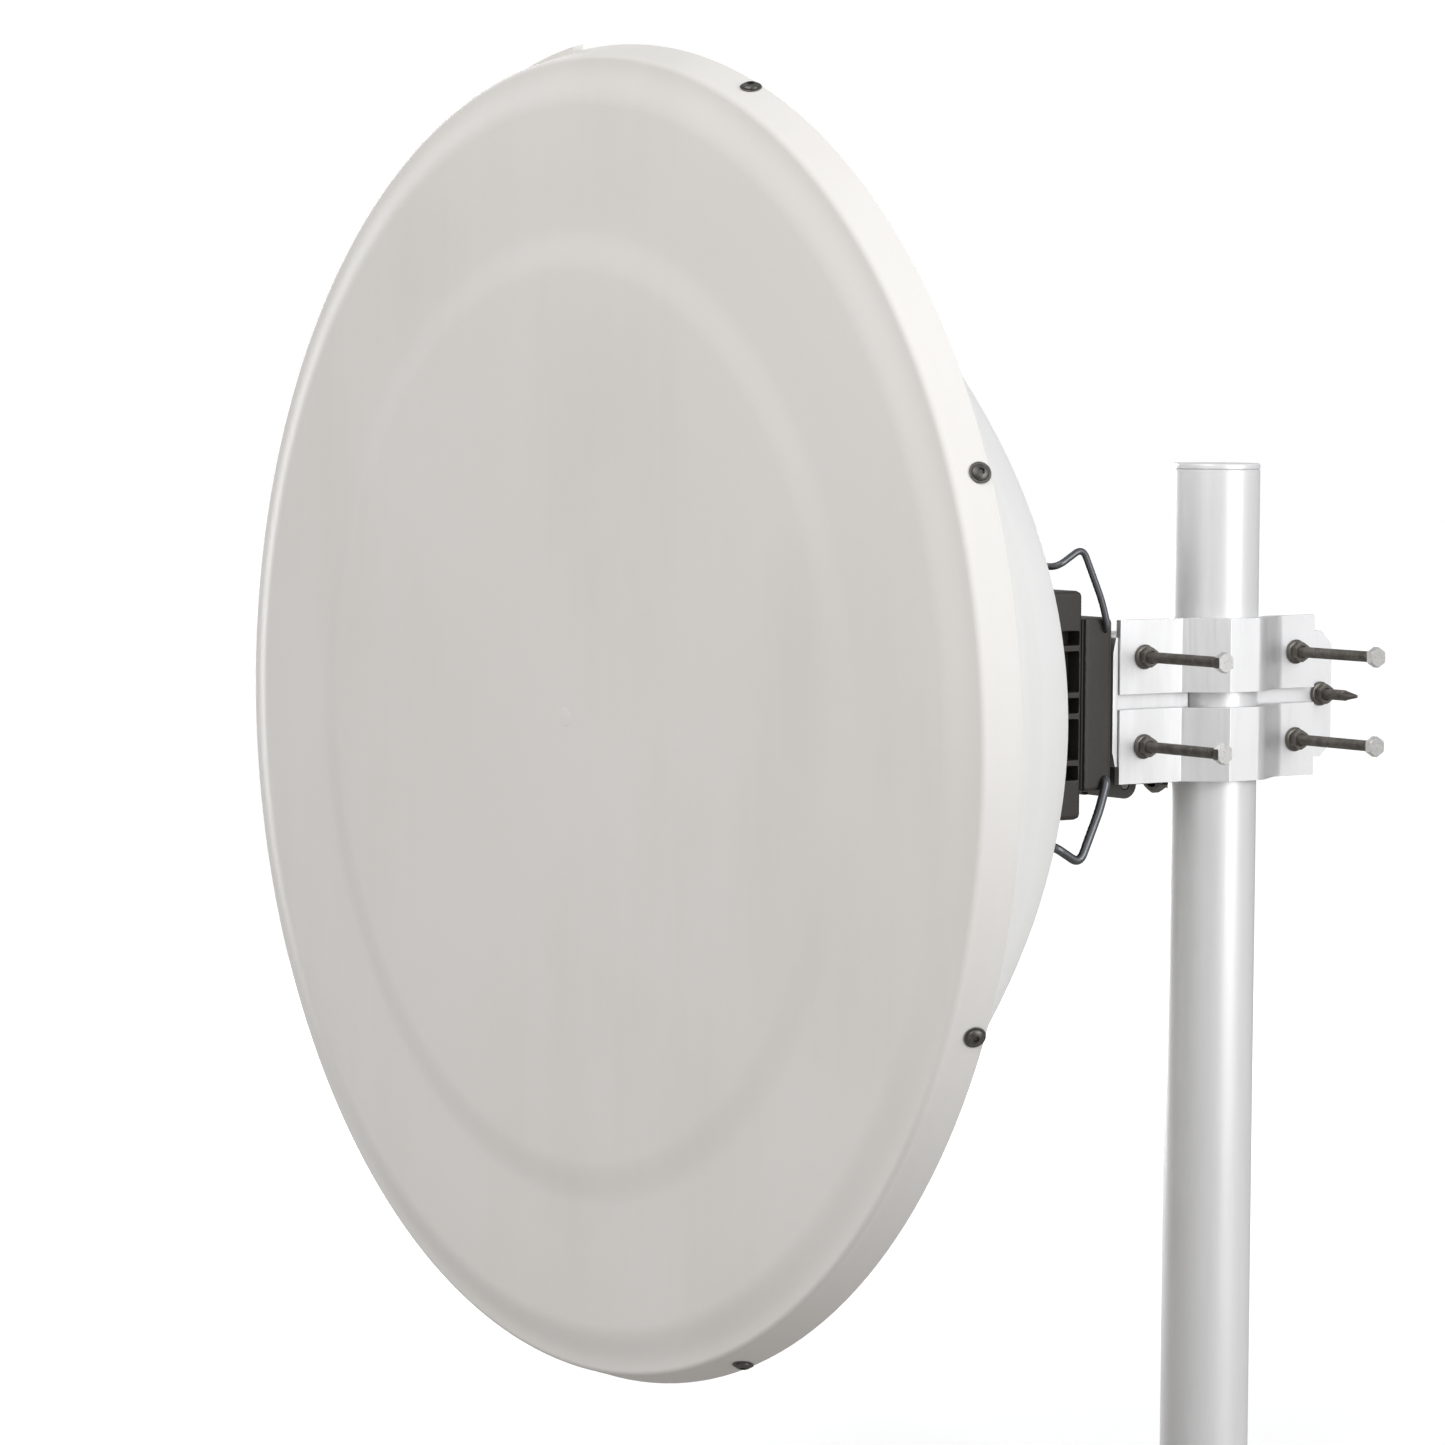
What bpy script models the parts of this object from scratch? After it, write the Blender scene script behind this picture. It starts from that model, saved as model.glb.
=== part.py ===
"""Outdoor wireless bridge: a 0.9 m covered dish with its radio unit, on a two-saddle mast clamp.

Metres, +Z up.  The origin is the centre of the mast's foot, the mast stands along +Z, the dish
looks along -Y, and the clamp's saddles and bolts face +X.
"""
import math

import bmesh
import bpy
from mathutils import Matrix, Vector

# ---------------------------------------------------------------- driving dimensions
GAP = 0.0003                 # clearance kept between touching pieces

MAST_RADIUS = 0.0325
MAST_WALL = 0.003
MAST_HEIGHT = 0.792
CAP_THICK = 0.004
CAP_PLUG = 0.020

DISH_X = -MAST_RADIUS - 0.0175   # dish axis, beside the mast, with room for the rod's anchor
DISH_Z = 0.620               # dish axis, above the mast's foot

# The dish's own depths are distances in front of the mast axis, along -Y.
HUB_DEPTH = 0.224            # back of the reflector's flat hub
HUB_RADIUS = 0.1016
BOWL_RADIUS = 0.4122
BOWL_RISE = 0.2689           # from the hub's back to the bowl's rim
BOWL_POWER = 2.4             # how full the bowl is: 2 is a true parabola
SHEET = 0.002                # reflector sheet
LIP_WIDTH = 0.007            # flat lip around the bowl, behind the rim ring
RIM_RADIUS = BOWL_RADIUS + 0.0318    # outside of the rim ring's wall
RIM_HEIGHT = 0.024
FEED_HOLE = 0.0195

SKIRT_TOP_RADIUS = RIM_RADIUS + 0.006        # radome, at the edge of its face
SKIRT_LIP_RADIUS = SKIRT_TOP_RADIUS + 0.007
SKIRT_HEIGHT = 0.024
SKIRT_BEND_RADIUS = SKIRT_TOP_RADIUS + 0.0025    # where the skirt's flare starts
SKIRT_BEND = 0.010           # and how far behind the face's edge
RADOME_WALL = 0.0030
FACE_RISE = 0.0070           # face above its edge
STEP_RISE = 0.0050           # centre disc above the outer band
STEP_OUTER = SKIRT_TOP_RADIUS - 0.122
STEP_INNER = STEP_OUTER - 0.026
BAND_RADIUS = SKIRT_TOP_RADIUS - 0.0315
SHOULDER_IN = 0.010          # where the face's edge rounds over: in from the skirt, and its rise
SHOULDER_RISE = 0.0040
EDGE_IN = 0.003
EDGE_RISE = 0.0012
EDGE_FALL = 0.0030
FACE_ABOVE_RIM = 0.0314      # from the bowl's rim to the edge of the face
RIM_SCREWS = 8
RIM_SCREW_RADIUS = 0.0070
RIM_SCREW_HEAD = 0.0030
RIM_SCREW_LENGTH = 0.018

FEED_RADIUS = 0.0160
FEED_BORE = 0.0110
FEED_LENGTH = 0.166
FEED_FLANGE_RADIUS = 0.034
FEED_FLANGE_THICK = 0.004
SPLASH_RADIUS = 0.045
SPLASH_DEPTH = 0.030
SPLASH_STUB = 0.012          # part of the head that plugs into the tube
SPLASH_EDGE = (0.003, 0.007)     # start and end of the head's rim, below its face

COLLAR_RADIUS = 0.0975
COLLAR_THICK = 0.0185
COLLAR_BOLT_CIRCLE = 0.080
COLLAR_HOLE_FLOOR = 0.008
HUB_BOLT_LENGTH = 0.010
KEEPER_HALF_WIDTH = 0.045
KEEPER_THICK = 0.012
KEEPER_END = 0.162           # rear end of a keeper, in front of the mast axis
RIDGE_FRONT = 0.1712
RIDGE_RISE = 0.0162          # top of the keeper's ridge, above the housing

RADIO_HALF_WIDTH = 0.080
RADIO_HALF_HEIGHT = 0.082
RADIO_REAR = 0.1476          # rear face of the housing, in front of the mast axis
RADIO_WALL = 0.0057
CAVITY_HALF_WIDTH = RADIO_HALF_WIDTH - 0.020
CAVITY_HALF_HEIGHT = 0.0525
WINDOW_DEPTH = 0.014
WINDOW_FRONT_WALL = 0.006
WINDOW_REAR_WALL = 0.003
RIB = 0.004
RIB_HEIGHTS = (-0.041, -0.0075, 0.0075, 0.041)
WINDOW_HALF_ZONE = 0.0535
POST_RADIUS = 0.004
POST_X = CAVITY_HALF_WIDTH - 0.012
POST_Z = 0.042

GASKET_THICK = 0.0015
COVER_HALF_HEIGHT = 0.0625
COVER_REAR = 0.1200          # rear face of the cover, in front of the mast axis
COVER_WALL = 0.0045
COVER_SIDE = 0.010
CASTING_EDGE = 0.004         # rounded edges of the housing and the cover

BOARD_THICK = 0.0016
BOARD_DEPTH = 0.1715         # front face of the board, in front of the mast axis
SHIELD_THICK = 0.008
SHIELD_HALF = 0.028
GUIDE_RADIUS = 0.0155

LATCH_WIRE = 0.0025
LATCH_SIDE_GAP = 0.001
LATCH_PIVOT_DEPTH = 0.1275
LATCH_PIVOT_Z = 0.054
LATCH_KNEE = (0.0065, 0.021)     # points of the wire from its pivot: forward, outward
LATCH_PEAK = (0.0245, 0.059)
LATCH_HOOK = (0.0475, 0.0456)
LATCH_BEND = 0.008
LATCH_PIN_DEPTH = 0.007

PLATE_BACK = 0.003           # clamp block's front plate, along X
PLATE_THICK = 0.007
PLATE_LEFT = -0.1034
PLATE_RIGHT = 0.107
PLATE_HALF_HEIGHT = 0.047
PLATE_CHAMFER = 0.010
BODY_HALF_HEIGHT = 0.045
BODY_LEFT = -0.075
BODY_RIGHT = 0.060
ARM_LEFT = -0.050            # where the block's arm meets its front plate
BODY_WALL = 0.007
MOUTH_REACH = 0.05           # tools run this far past what they cut

PIVOT_DEPTH = 0.085          # tilt axis, in front of the mast axis
NOSE_RADIUS = 0.022
NOSE_HALF_WIDTH = 0.0447
PIN_RADIUS = 0.006
CHEEK_THICK = 0.0074
CHEEK_GAP = 0.0006
CROSS_THICK = 0.0077
CROSS_HALF_HEIGHT = 0.055
LEVER_LENGTH = 0.061
LEVER_END_RADIUS = 0.0105

ROD_RADIUS = 0.006
ROD_EYE_RADIUS = 0.011
ROD_EYE_HALF_WIDTH = 0.008
ROD_END = 0.075              # rear end of the rod, behind the mast axis
ROD_PLAY = 0.0026            # free height at the anchor, the linkage's open pivot
SLEEVE_FRONT = 0.068
SLEEVE_LENGTH = 0.028
SLEEVE_RADIUS = 0.0090
ANCHOR_Y = 0.004
ANCHOR_HALF_LENGTH = 0.012
ANCHOR_EAR = 0.0045
BARREL_HALF_WIDTH = 0.0115
BARREL_RADIUS = 0.0105
ROD_NUT_RADIUS = 0.0130
ROD_NUT_THICK = 0.008

SADDLE_OUTER = 0.018         # outer face of the flanges, along X
SADDLE_THICK = 0.005
SADDLE_FRONT = MAST_RADIUS + 0.006
SADDLE_FRONT_HALF = MAST_RADIUS / 2
SADDLE_FOOT_HALF = MAST_RADIUS + 0.013
SADDLE_LEFT = -0.1034
SADDLE_RIGHT = 0.083
SADDLE_HEIGHT = 0.054
SADDLE_SPLIT = 0.011

BOLT_RADIUS = 0.004
BOLT_HEX = BOLT_RADIUS + 0.0035
BOLT_HEAD = 0.0055
BOLT_END = 0.103             # under the bolt's head, along X
BOLT_YS = (-0.081, 0.064)
BOLT_HOLE = BOLT_RADIUS + 0.0007
NUT_FLANGE_RADIUS = BOLT_HEX + 0.0015
NUT_FLANGE_THICK = 0.0016
NUT_THICK = 0.0085

STUD_Y = 0.0955
STUD_LENGTH = 0.042
STUD_TIP = 0.014
STUD_POINT = 0.001

GLAND_RADIUS = 0.011
GLAND_LENGTH = 0.022
GLAND_X = -0.030             # from the dish axis
VENT_RADIUS = 0.008
VENT_X = 0.030
VENT_HEIGHT = 0.006

SMALL_BOLT_RADIUS = 0.003
SMALL_HEX = 0.006
SMALL_HEAD = 0.004
CROSS_BOLT_LENGTH = 0.013
CROSS_BOLT_X = 0.030
CROSS_BOLT_Z = 0.042
TILT_HEX = 0.010
TILT_HEAD = 0.007

# ---------------------------------------------------------------- worked-out sizes
SADDLE_CENTRE = (SADDLE_SPLIT + SADDLE_HEIGHT) / 2
PLATE_FRONT = PLATE_BACK + PLATE_THICK
COLLAR_REAR = HUB_DEPTH - GAP - COLLAR_THICK
RADIO_FRONT = COLLAR_REAR - GAP
COVER_FRONT = RADIO_REAR - GASKET_THICK - 2 * GAP
RIM_DEPTH = HUB_DEPTH + BOWL_RISE
FACE_DEPTH = RIM_DEPTH + FACE_ABOVE_RIM
SKIRT_LIP_DEPTH = FACE_DEPTH - SKIRT_HEIGHT
SKIRT_FLARE = Vector((SKIRT_LIP_RADIUS - SKIRT_BEND_RADIUS, SKIRT_HEIGHT - SKIRT_BEND))
SKIRT_MIDDLE = (SKIRT_BEND_RADIUS + SKIRT_FLARE.x / 2, FACE_DEPTH - SKIRT_BEND - SKIRT_FLARE.y / 2)
LATCH_X = RADIO_HALF_WIDTH + LATCH_SIDE_GAP + LATCH_WIRE
RIDGE_TOP = RADIO_HALF_HEIGHT + GAP + RIDGE_RISE
CHEEK_INNER = NOSE_HALF_WIDTH + CHEEK_GAP
CHEEK_OUTER = CHEEK_INNER + CHEEK_THICK
CROSS_REAR = COVER_REAR - GAP - CROSS_THICK
SADDLE_SLOPE = Vector((SADDLE_FRONT - SADDLE_OUTER, SADDLE_FOOT_HALF - SADDLE_FRONT_HALF))

for old in list(bpy.data.objects):
    bpy.data.objects.remove(old, do_unlink=True)

PARTS = bpy.data.collections.new("outdoor_wireless_bridge")
CUTTERS = bpy.data.collections.new("cutters")
bpy.context.scene.collection.children.link(PARTS)
bpy.context.scene.collection.children.link(CUTTERS)


# ---------------------------------------------------------------- materials
def material(name, colour, roughness, metallic=0.0):
    made = bpy.data.materials.new(name)
    made.use_nodes = True
    shader = made.node_tree.nodes["Principled BSDF"]
    shader.inputs["Base Color"].default_value = (*colour, 1.0)
    shader.inputs["Roughness"].default_value = roughness
    shader.inputs["Metallic"].default_value = metallic
    return made


WHITE_PLASTIC = material("white_plastic", (0.68, 0.67, 0.65), 0.55)
WHITE_PAINT = material("white_paint", (0.80, 0.80, 0.79), 0.45)
ALUMINIUM = material("bright_aluminium", (0.82, 0.82, 0.83), 0.35, 1.0)
DARK_CAST = material("dark_cast_metal", (0.060, 0.055, 0.045), 0.60)
STEEL = material("bright_steel", (0.60, 0.60, 0.58), 0.30, 1.0)
DARK_STEEL = material("dark_steel", (0.11, 0.10, 0.09), 0.45, 0.8)
MAST_PAINT = material("light_grey_paint", (0.70, 0.70, 0.70), 0.40)
RUBBER = material("black_rubber", (0.02, 0.02, 0.02), 0.80)
GREEN_BOARD = material("green_board", (0.02, 0.12, 0.05), 0.50)
BLACK_PLASTIC = material("black_plastic", (0.03, 0.03, 0.03), 0.50)


# ---------------------------------------------------------------- modelling helpers
def placed(name, mesh, look, group=PARTS, at=(0, 0, 0), turn=None):
    """Make an object of a mesh, in a collection, with its material."""
    made = bpy.data.objects.new(name, mesh)
    group.objects.link(made)
    made.location = at
    if turn is not None:
        made.rotation_euler = turn.to_euler() if isinstance(turn, Matrix) else turn
    if look is not None and not mesh.materials:
        mesh.materials.append(look)
    if group is CUTTERS:
        made.hide_render = True
        made.display_type = "WIRE"
    return made


def box(name, low, high, look=None, group=PARTS, bevel=0.0, segments=2):
    """A box between two corners, with its edges rounded if asked."""
    middle = (Vector(low) + Vector(high)) / 2
    size = Vector(high) - Vector(low)
    mesh = bpy.data.meshes.new(name)
    work = bmesh.new()
    bmesh.ops.create_cube(work, size=1.0)
    bmesh.ops.scale(work, vec=size, verts=work.verts)
    work.to_mesh(mesh)
    work.free()
    made = placed(name, mesh, look, group, middle)
    if bevel:
        rounding = made.modifiers.new("rounding", "BEVEL")
        rounding.width = bevel
        rounding.segments = segments
    return made


def cylinder(name, radius, start, end, look=None, group=PARTS, sides=24, tip=None):
    """A round or hexagonal bar from start to end; tip is its radius at the end."""
    start = Vector(start)
    end = Vector(end)
    mesh = bpy.data.meshes.new(name)
    work = bmesh.new()
    bmesh.ops.create_cone(work, cap_ends=True, segments=sides, radius1=radius,
                          radius2=radius if tip is None else tip, depth=(end - start).length)
    work.to_mesh(mesh)
    work.free()
    turn = (end - start).to_track_quat("Z", "Y").to_matrix()
    return placed(name, mesh, look, group, (start + end) / 2, turn)


def turned(name, profile, look=None, group=PARTS, at=(0, 0, 0), turn=(0, 0, 0), steps=48):
    """Turn a profile of (radius, height) points about its own Z axis."""
    mesh = bpy.data.meshes.new(name)
    work = bmesh.new()
    points = [work.verts.new((radius, 0, height)) for radius, height in profile]
    for first, second in zip(points, points[1:]):
        work.edges.new((first, second))
    if profile[0][0] > 0:
        work.edges.new((points[-1], points[0]))
    work.to_mesh(mesh)
    work.free()
    made = placed(name, mesh, look, group, at, turn)
    spin = made.modifiers.new("turning", "SCREW")
    spin.axis = "Z"
    spin.steps = steps
    spin.render_steps = steps
    spin.use_merge_vertices = True
    spin.merge_threshold = 0.00001
    return made


def arc(centre, radius, first, last, count):
    """Points along an arc in a plane, angles in degrees."""
    return [(centre[0] + radius * math.cos(math.radians(first + (last - first) * i / count)),
             centre[1] + radius * math.sin(math.radians(first + (last - first) * i / count)))
            for i in range(count + 1)]


def prism(name, outline, depth, look=None, group=PARTS, at=(0, 0, 0), turn=(0, 0, 0)):
    """A flat outline with a thickness, centred on its own plane, as a mesh."""
    curve = bpy.data.curves.new(name, "CURVE")
    curve.dimensions = "2D"
    curve.fill_mode = "BOTH"
    curve.extrude = depth / 2
    spline = curve.splines.new("POLY")
    spline.points.add(len(outline) - 1)
    spline.use_cyclic_u = True
    for point, (x, y) in zip(spline.points, outline):
        point.co = (x, y, 0, 1)
    return as_mesh(placed(name, curve, look, group, at, turn), group)


def as_mesh(source, group=PARTS):
    """Swap a curve or modified object for one with the finished mesh."""
    bpy.context.view_layer.update()
    finished = bpy.data.meshes.new_from_object(source.evaluated_get(bpy.context.evaluated_depsgraph_get()))
    work = bmesh.new()
    work.from_mesh(finished)
    bmesh.ops.remove_doubles(work, verts=work.verts, dist=0.00001)
    bmesh.ops.recalc_face_normals(work, faces=work.faces)
    work.to_mesh(finished)
    work.free()
    name = source.name
    place = source.matrix_world.copy()
    bpy.data.objects.remove(source, do_unlink=True)
    made = placed(name, finished, None, group)
    made.name = name
    made.matrix_world = place
    return made


def cut(target, tool):
    """Take the tool's shape out of the target."""
    step = target.modifiers.new("cut", "BOOLEAN")
    step.operation = "DIFFERENCE"
    step.object = tool


def unite(target, tool):
    """Add the tool's shape to the target."""
    step = target.modifiers.new("join", "BOOLEAN")
    step.operation = "UNION"
    step.object = tool


def smooth(target, angle=40):
    """Shade a round piece smooth, with its real edges kept sharp."""
    target.data.shade_smooth()
    target.data.set_sharp_from_angle(angle=math.radians(angle))


def hex_bolt(name, under_head, direction, length, look, radius=BOLT_RADIUS, hexagon=BOLT_HEX, head=BOLT_HEAD,
             sides=16):
    """A hexagon bolt; its shaft runs from under the head along the direction."""
    start = Vector(under_head)
    along = Vector(direction)
    made = cylinder(name, hexagon, start - along * head, start, look, sides=6)
    shaft = cylinder(name + "_shaft", radius, start - along * head / 2, start + along * length, None, CUTTERS, sides)
    unite(made, shaft)
    return made


FRONT_TURN = (math.radians(90), 0, 0)      # turned pieces of the dish: own +Z becomes -Y
DISH_AXIS = (DISH_X, 0, DISH_Z)


def on_dish(across, depth, up):
    """A place given from the dish axis and the mast axis, in the shared frame."""
    return (DISH_X + across, -depth, DISH_Z + up)


# ---------------------------------------------------------------- mast
def make_mast():
    """A stub of the round mast that carries the bridge, closed by a cap and a foot plug."""
    inner = MAST_RADIUS - MAST_WALL
    low = CAP_THICK + GAP
    high = MAST_HEIGHT - CAP_THICK - GAP
    tube = turned("mast_tube", [(MAST_RADIUS, high), (MAST_RADIUS, low), (inner, low), (inner, high)],
                  MAST_PAINT, steps=48)
    smooth(tube)
    edge = 0.001
    plug = inner - GAP
    cap = turned("mast_cap", [(0, MAST_HEIGHT), (MAST_RADIUS - edge, MAST_HEIGHT), (MAST_RADIUS, MAST_HEIGHT - edge),
                              (MAST_RADIUS, high + GAP), (plug, high + GAP), (plug, high - CAP_PLUG),
                              (0, high - CAP_PLUG)], MAST_PAINT, steps=48)
    smooth(cap)
    foot = turned("mast_foot", [(0, low + CAP_PLUG), (plug, low + CAP_PLUG), (plug, low - GAP),
                                (MAST_RADIUS, low - GAP), (MAST_RADIUS, 0), (0, 0)], MAST_PAINT, steps=48)
    smooth(foot)


# ---------------------------------------------------------------- reflector and radome
def bowl_back(radius):
    """Depth of the reflector's back at a radius, in front of the mast axis."""
    whole = 1 - (HUB_RADIUS / BOWL_RADIUS) ** BOWL_POWER
    return RIM_DEPTH - BOWL_RISE * (1 - (radius / BOWL_RADIUS) ** BOWL_POWER) / whole


def make_reflector():
    """A deep spun bowl with a flat hub and a lip, and the rim ring on its lip, under the skirt."""
    rings = 7
    radii = [BOWL_RADIUS + (HUB_RADIUS - BOWL_RADIUS) * i / rings for i in range(rings + 1)]
    back = [(radius, bowl_back(radius)) for radius in radii]
    front = []
    for radius, depth in back:
        slope = BOWL_RISE * BOWL_POWER * (radius / BOWL_RADIUS) ** (BOWL_POWER - 1) / BOWL_RADIUS
        length = math.hypot(1, slope)
        front.append((radius - SHEET * slope / length, depth + SHEET / length))
    lip = BOWL_RADIUS + LIP_WIDTH
    profile = [(lip, RIM_DEPTH + SHEET), (lip, RIM_DEPTH)]
    profile += back
    profile += [(FEED_HOLE, HUB_DEPTH), (FEED_HOLE, HUB_DEPTH + SHEET)]
    profile += list(reversed(front[1:]))
    profile.append((BOWL_RADIUS - SHEET, RIM_DEPTH + SHEET))
    bowl = turned("reflector", profile, WHITE_PAINT, at=DISH_AXIS, turn=FRONT_TURN, steps=64)
    smooth(bowl, 30)
    for index in range(4):
        cut(bowl, hub_tool(f"hub_hole_{index + 1}", index, HUB_DEPTH - 0.01, HUB_DEPTH + 0.01, SMALL_BOLT_RADIUS + GAP))

    rear = RIM_DEPTH + SHEET + GAP
    inner = BOWL_RADIUS + SHEET / 2
    wall_top = RIM_DEPTH + RIM_HEIGHT
    ring = turned("rim_ring", [(RIM_RADIUS, wall_top), (RIM_RADIUS, rear), (inner, rear), (inner, rear + SHEET),
                               (RIM_RADIUS - SHEET, rear + SHEET), (RIM_RADIUS - SHEET, wall_top)],
                  WHITE_PAINT, at=DISH_AXIS, turn=FRONT_TURN, steps=64)
    smooth(ring, 30)
    for index in range(RIM_SCREWS):
        cut(ring, rim_tool(f"rim_hole_{index + 1}", index))


def rim_point(index, out):
    """A place on a rim screw's axis, which stands square on the middle of the skirt's flare."""
    angle = math.radians(360 / RIM_SCREWS * (index + 0.5))
    radius = SKIRT_MIDDLE[0] + out * SKIRT_FLARE.y / SKIRT_FLARE.length
    depth = SKIRT_MIDDLE[1] + out * SKIRT_FLARE.x / SKIRT_FLARE.length
    return on_dish(radius * math.cos(angle), depth, radius * math.sin(angle))


def rim_tool(name, index):
    return cylinder(name, SMALL_BOLT_RADIUS + GAP, rim_point(index, -RIM_SCREW_LENGTH - 0.002), rim_point(index, 0.01),
                    None, CUTTERS, 12)


def hub_point(index, depth):
    angle = math.radians(45 + 90 * index)
    return on_dish(COLLAR_BOLT_CIRCLE * math.cos(angle), depth, COLLAR_BOLT_CIRCLE * math.sin(angle))


def hub_tool(name, index, first, last, radius):
    return cylinder(name, radius, hub_point(index, first), hub_point(index, last), None, CUTTERS, 12)


def make_radome():
    """The moulded cover: a raised centre disc, an outer band and a flared skirt over the rim."""
    face = FACE_DEPTH + FACE_RISE
    outer = [(0, face + STEP_RISE), (STEP_INNER, face + STEP_RISE), (STEP_OUTER, face), (BAND_RADIUS, face),
             (SKIRT_TOP_RADIUS - SHOULDER_IN, FACE_DEPTH + SHOULDER_RISE),
             (SKIRT_TOP_RADIUS - EDGE_IN, FACE_DEPTH + EDGE_RISE),
             (SKIRT_TOP_RADIUS, FACE_DEPTH - EDGE_FALL), (SKIRT_BEND_RADIUS, FACE_DEPTH - SKIRT_BEND),
             (SKIRT_LIP_RADIUS, SKIRT_LIP_DEPTH)]
    under = face - RADOME_WALL
    inner = [(SKIRT_LIP_RADIUS - RADOME_WALL, SKIRT_LIP_DEPTH),
             (SKIRT_BEND_RADIUS - RADOME_WALL, FACE_DEPTH - SKIRT_BEND),
             (SKIRT_TOP_RADIUS - RADOME_WALL, FACE_DEPTH - RADOME_WALL - 0.0015),
             (BAND_RADIUS - 0.001, under), (STEP_OUTER - 0.001, under), (STEP_INNER - 0.001, under + STEP_RISE),
             (0, under + STEP_RISE)]
    cover = turned("radome", outer + inner, WHITE_PLASTIC, at=DISH_AXIS, turn=FRONT_TURN, steps=64)
    smooth(cover, 30)
    for index in range(RIM_SCREWS):
        cut(cover, rim_tool(f"skirt_hole_{index + 1}", index))
        name = f"rim_screw_{index + 1}"
        screw = cylinder(name, RIM_SCREW_RADIUS, rim_point(index, GAP), rim_point(index, GAP + RIM_SCREW_HEAD),
                         STEEL, sides=16, tip=RIM_SCREW_RADIUS * 0.75)
        unite(screw, cylinder(name + "_shank", SMALL_BOLT_RADIUS, rim_point(index, -RIM_SCREW_LENGTH),
                              rim_point(index, RIM_SCREW_HEAD / 2), None, CUTTERS, 12))
        smooth(screw)


def make_feed():
    """The feed tube on the hub, with its splash-plate head at the focus."""
    rear = HUB_DEPTH + GAP
    seat = HUB_DEPTH + SHEET + GAP
    end = HUB_DEPTH + FEED_LENGTH
    tube = turned("feed_tube", [(FEED_RADIUS, end), (FEED_RADIUS, seat + FEED_FLANGE_THICK),
                                (FEED_FLANGE_RADIUS, seat + FEED_FLANGE_THICK), (FEED_FLANGE_RADIUS, seat),
                                (FEED_RADIUS, seat), (FEED_RADIUS, rear), (FEED_BORE, rear), (FEED_BORE, end)],
                  ALUMINIUM, at=DISH_AXIS, turn=FRONT_TURN, steps=32)
    smooth(tube)
    low = end + GAP
    head = turned("splash_plate", [(0, low + SPLASH_DEPTH), (SPLASH_RADIUS * 0.9, low + SPLASH_DEPTH),
                                   (SPLASH_RADIUS, low + SPLASH_DEPTH - SPLASH_EDGE[0]),
                                   (SPLASH_RADIUS, low + SPLASH_DEPTH - SPLASH_EDGE[1]),
                                   (FEED_RADIUS, low), (FEED_BORE - GAP, low),
                                   (FEED_BORE - GAP, low - SPLASH_STUB), (0, low - SPLASH_STUB)], WHITE_PLASTIC, at=DISH_AXIS, turn=FRONT_TURN, steps=40)
    smooth(head)


# ---------------------------------------------------------------- hub collar
def make_collar():
    """The cast collar behind the reflector's hub, with a latch keeper above and below."""
    bore = GUIDE_RADIUS + 2 * GAP
    collar = turned("hub_collar", [(COLLAR_RADIUS, HUB_DEPTH - GAP), (COLLAR_RADIUS, COLLAR_REAR),
                                   (bore, COLLAR_REAR), (bore, HUB_DEPTH - GAP)],
                    DARK_CAST, at=DISH_AXIS, turn=FRONT_TURN, steps=64)
    low = RADIO_HALF_HEIGHT + GAP
    for side in (1, -1):
        name = "upper" if side > 0 else "lower"
        for label, near, far, top in (("tongue", HUB_DEPTH - 0.005, KEEPER_END, low + KEEPER_THICK),
                                      ("ridge", RIDGE_FRONT, KEEPER_END + GAP, RIDGE_TOP)):
            first = on_dish(-KEEPER_HALF_WIDTH, near, side * low)
            last = on_dish(KEEPER_HALF_WIDTH, far, side * top)
            corners = [[min(a, b) for a, b in zip(first, last)], [max(a, b) for a, b in zip(first, last)]]
            unite(collar, box(f"keeper_{name}_{label}", *corners, None, CUTTERS))
    for index in range(4):
        cut(collar, hub_tool(f"collar_hole_{index + 1}", index, COLLAR_REAR + COLLAR_HOLE_FLOOR, HUB_DEPTH + 0.01,
                             SMALL_BOLT_RADIUS + GAP))
        hex_bolt(f"hub_bolt_{index + 1}", hub_point(index, HUB_DEPTH + SHEET + GAP), (0, 1, 0), HUB_BOLT_LENGTH, STEEL,
                 SMALL_BOLT_RADIUS, SMALL_HEX, SMALL_HEAD, 12)
    smooth(collar)


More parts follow.
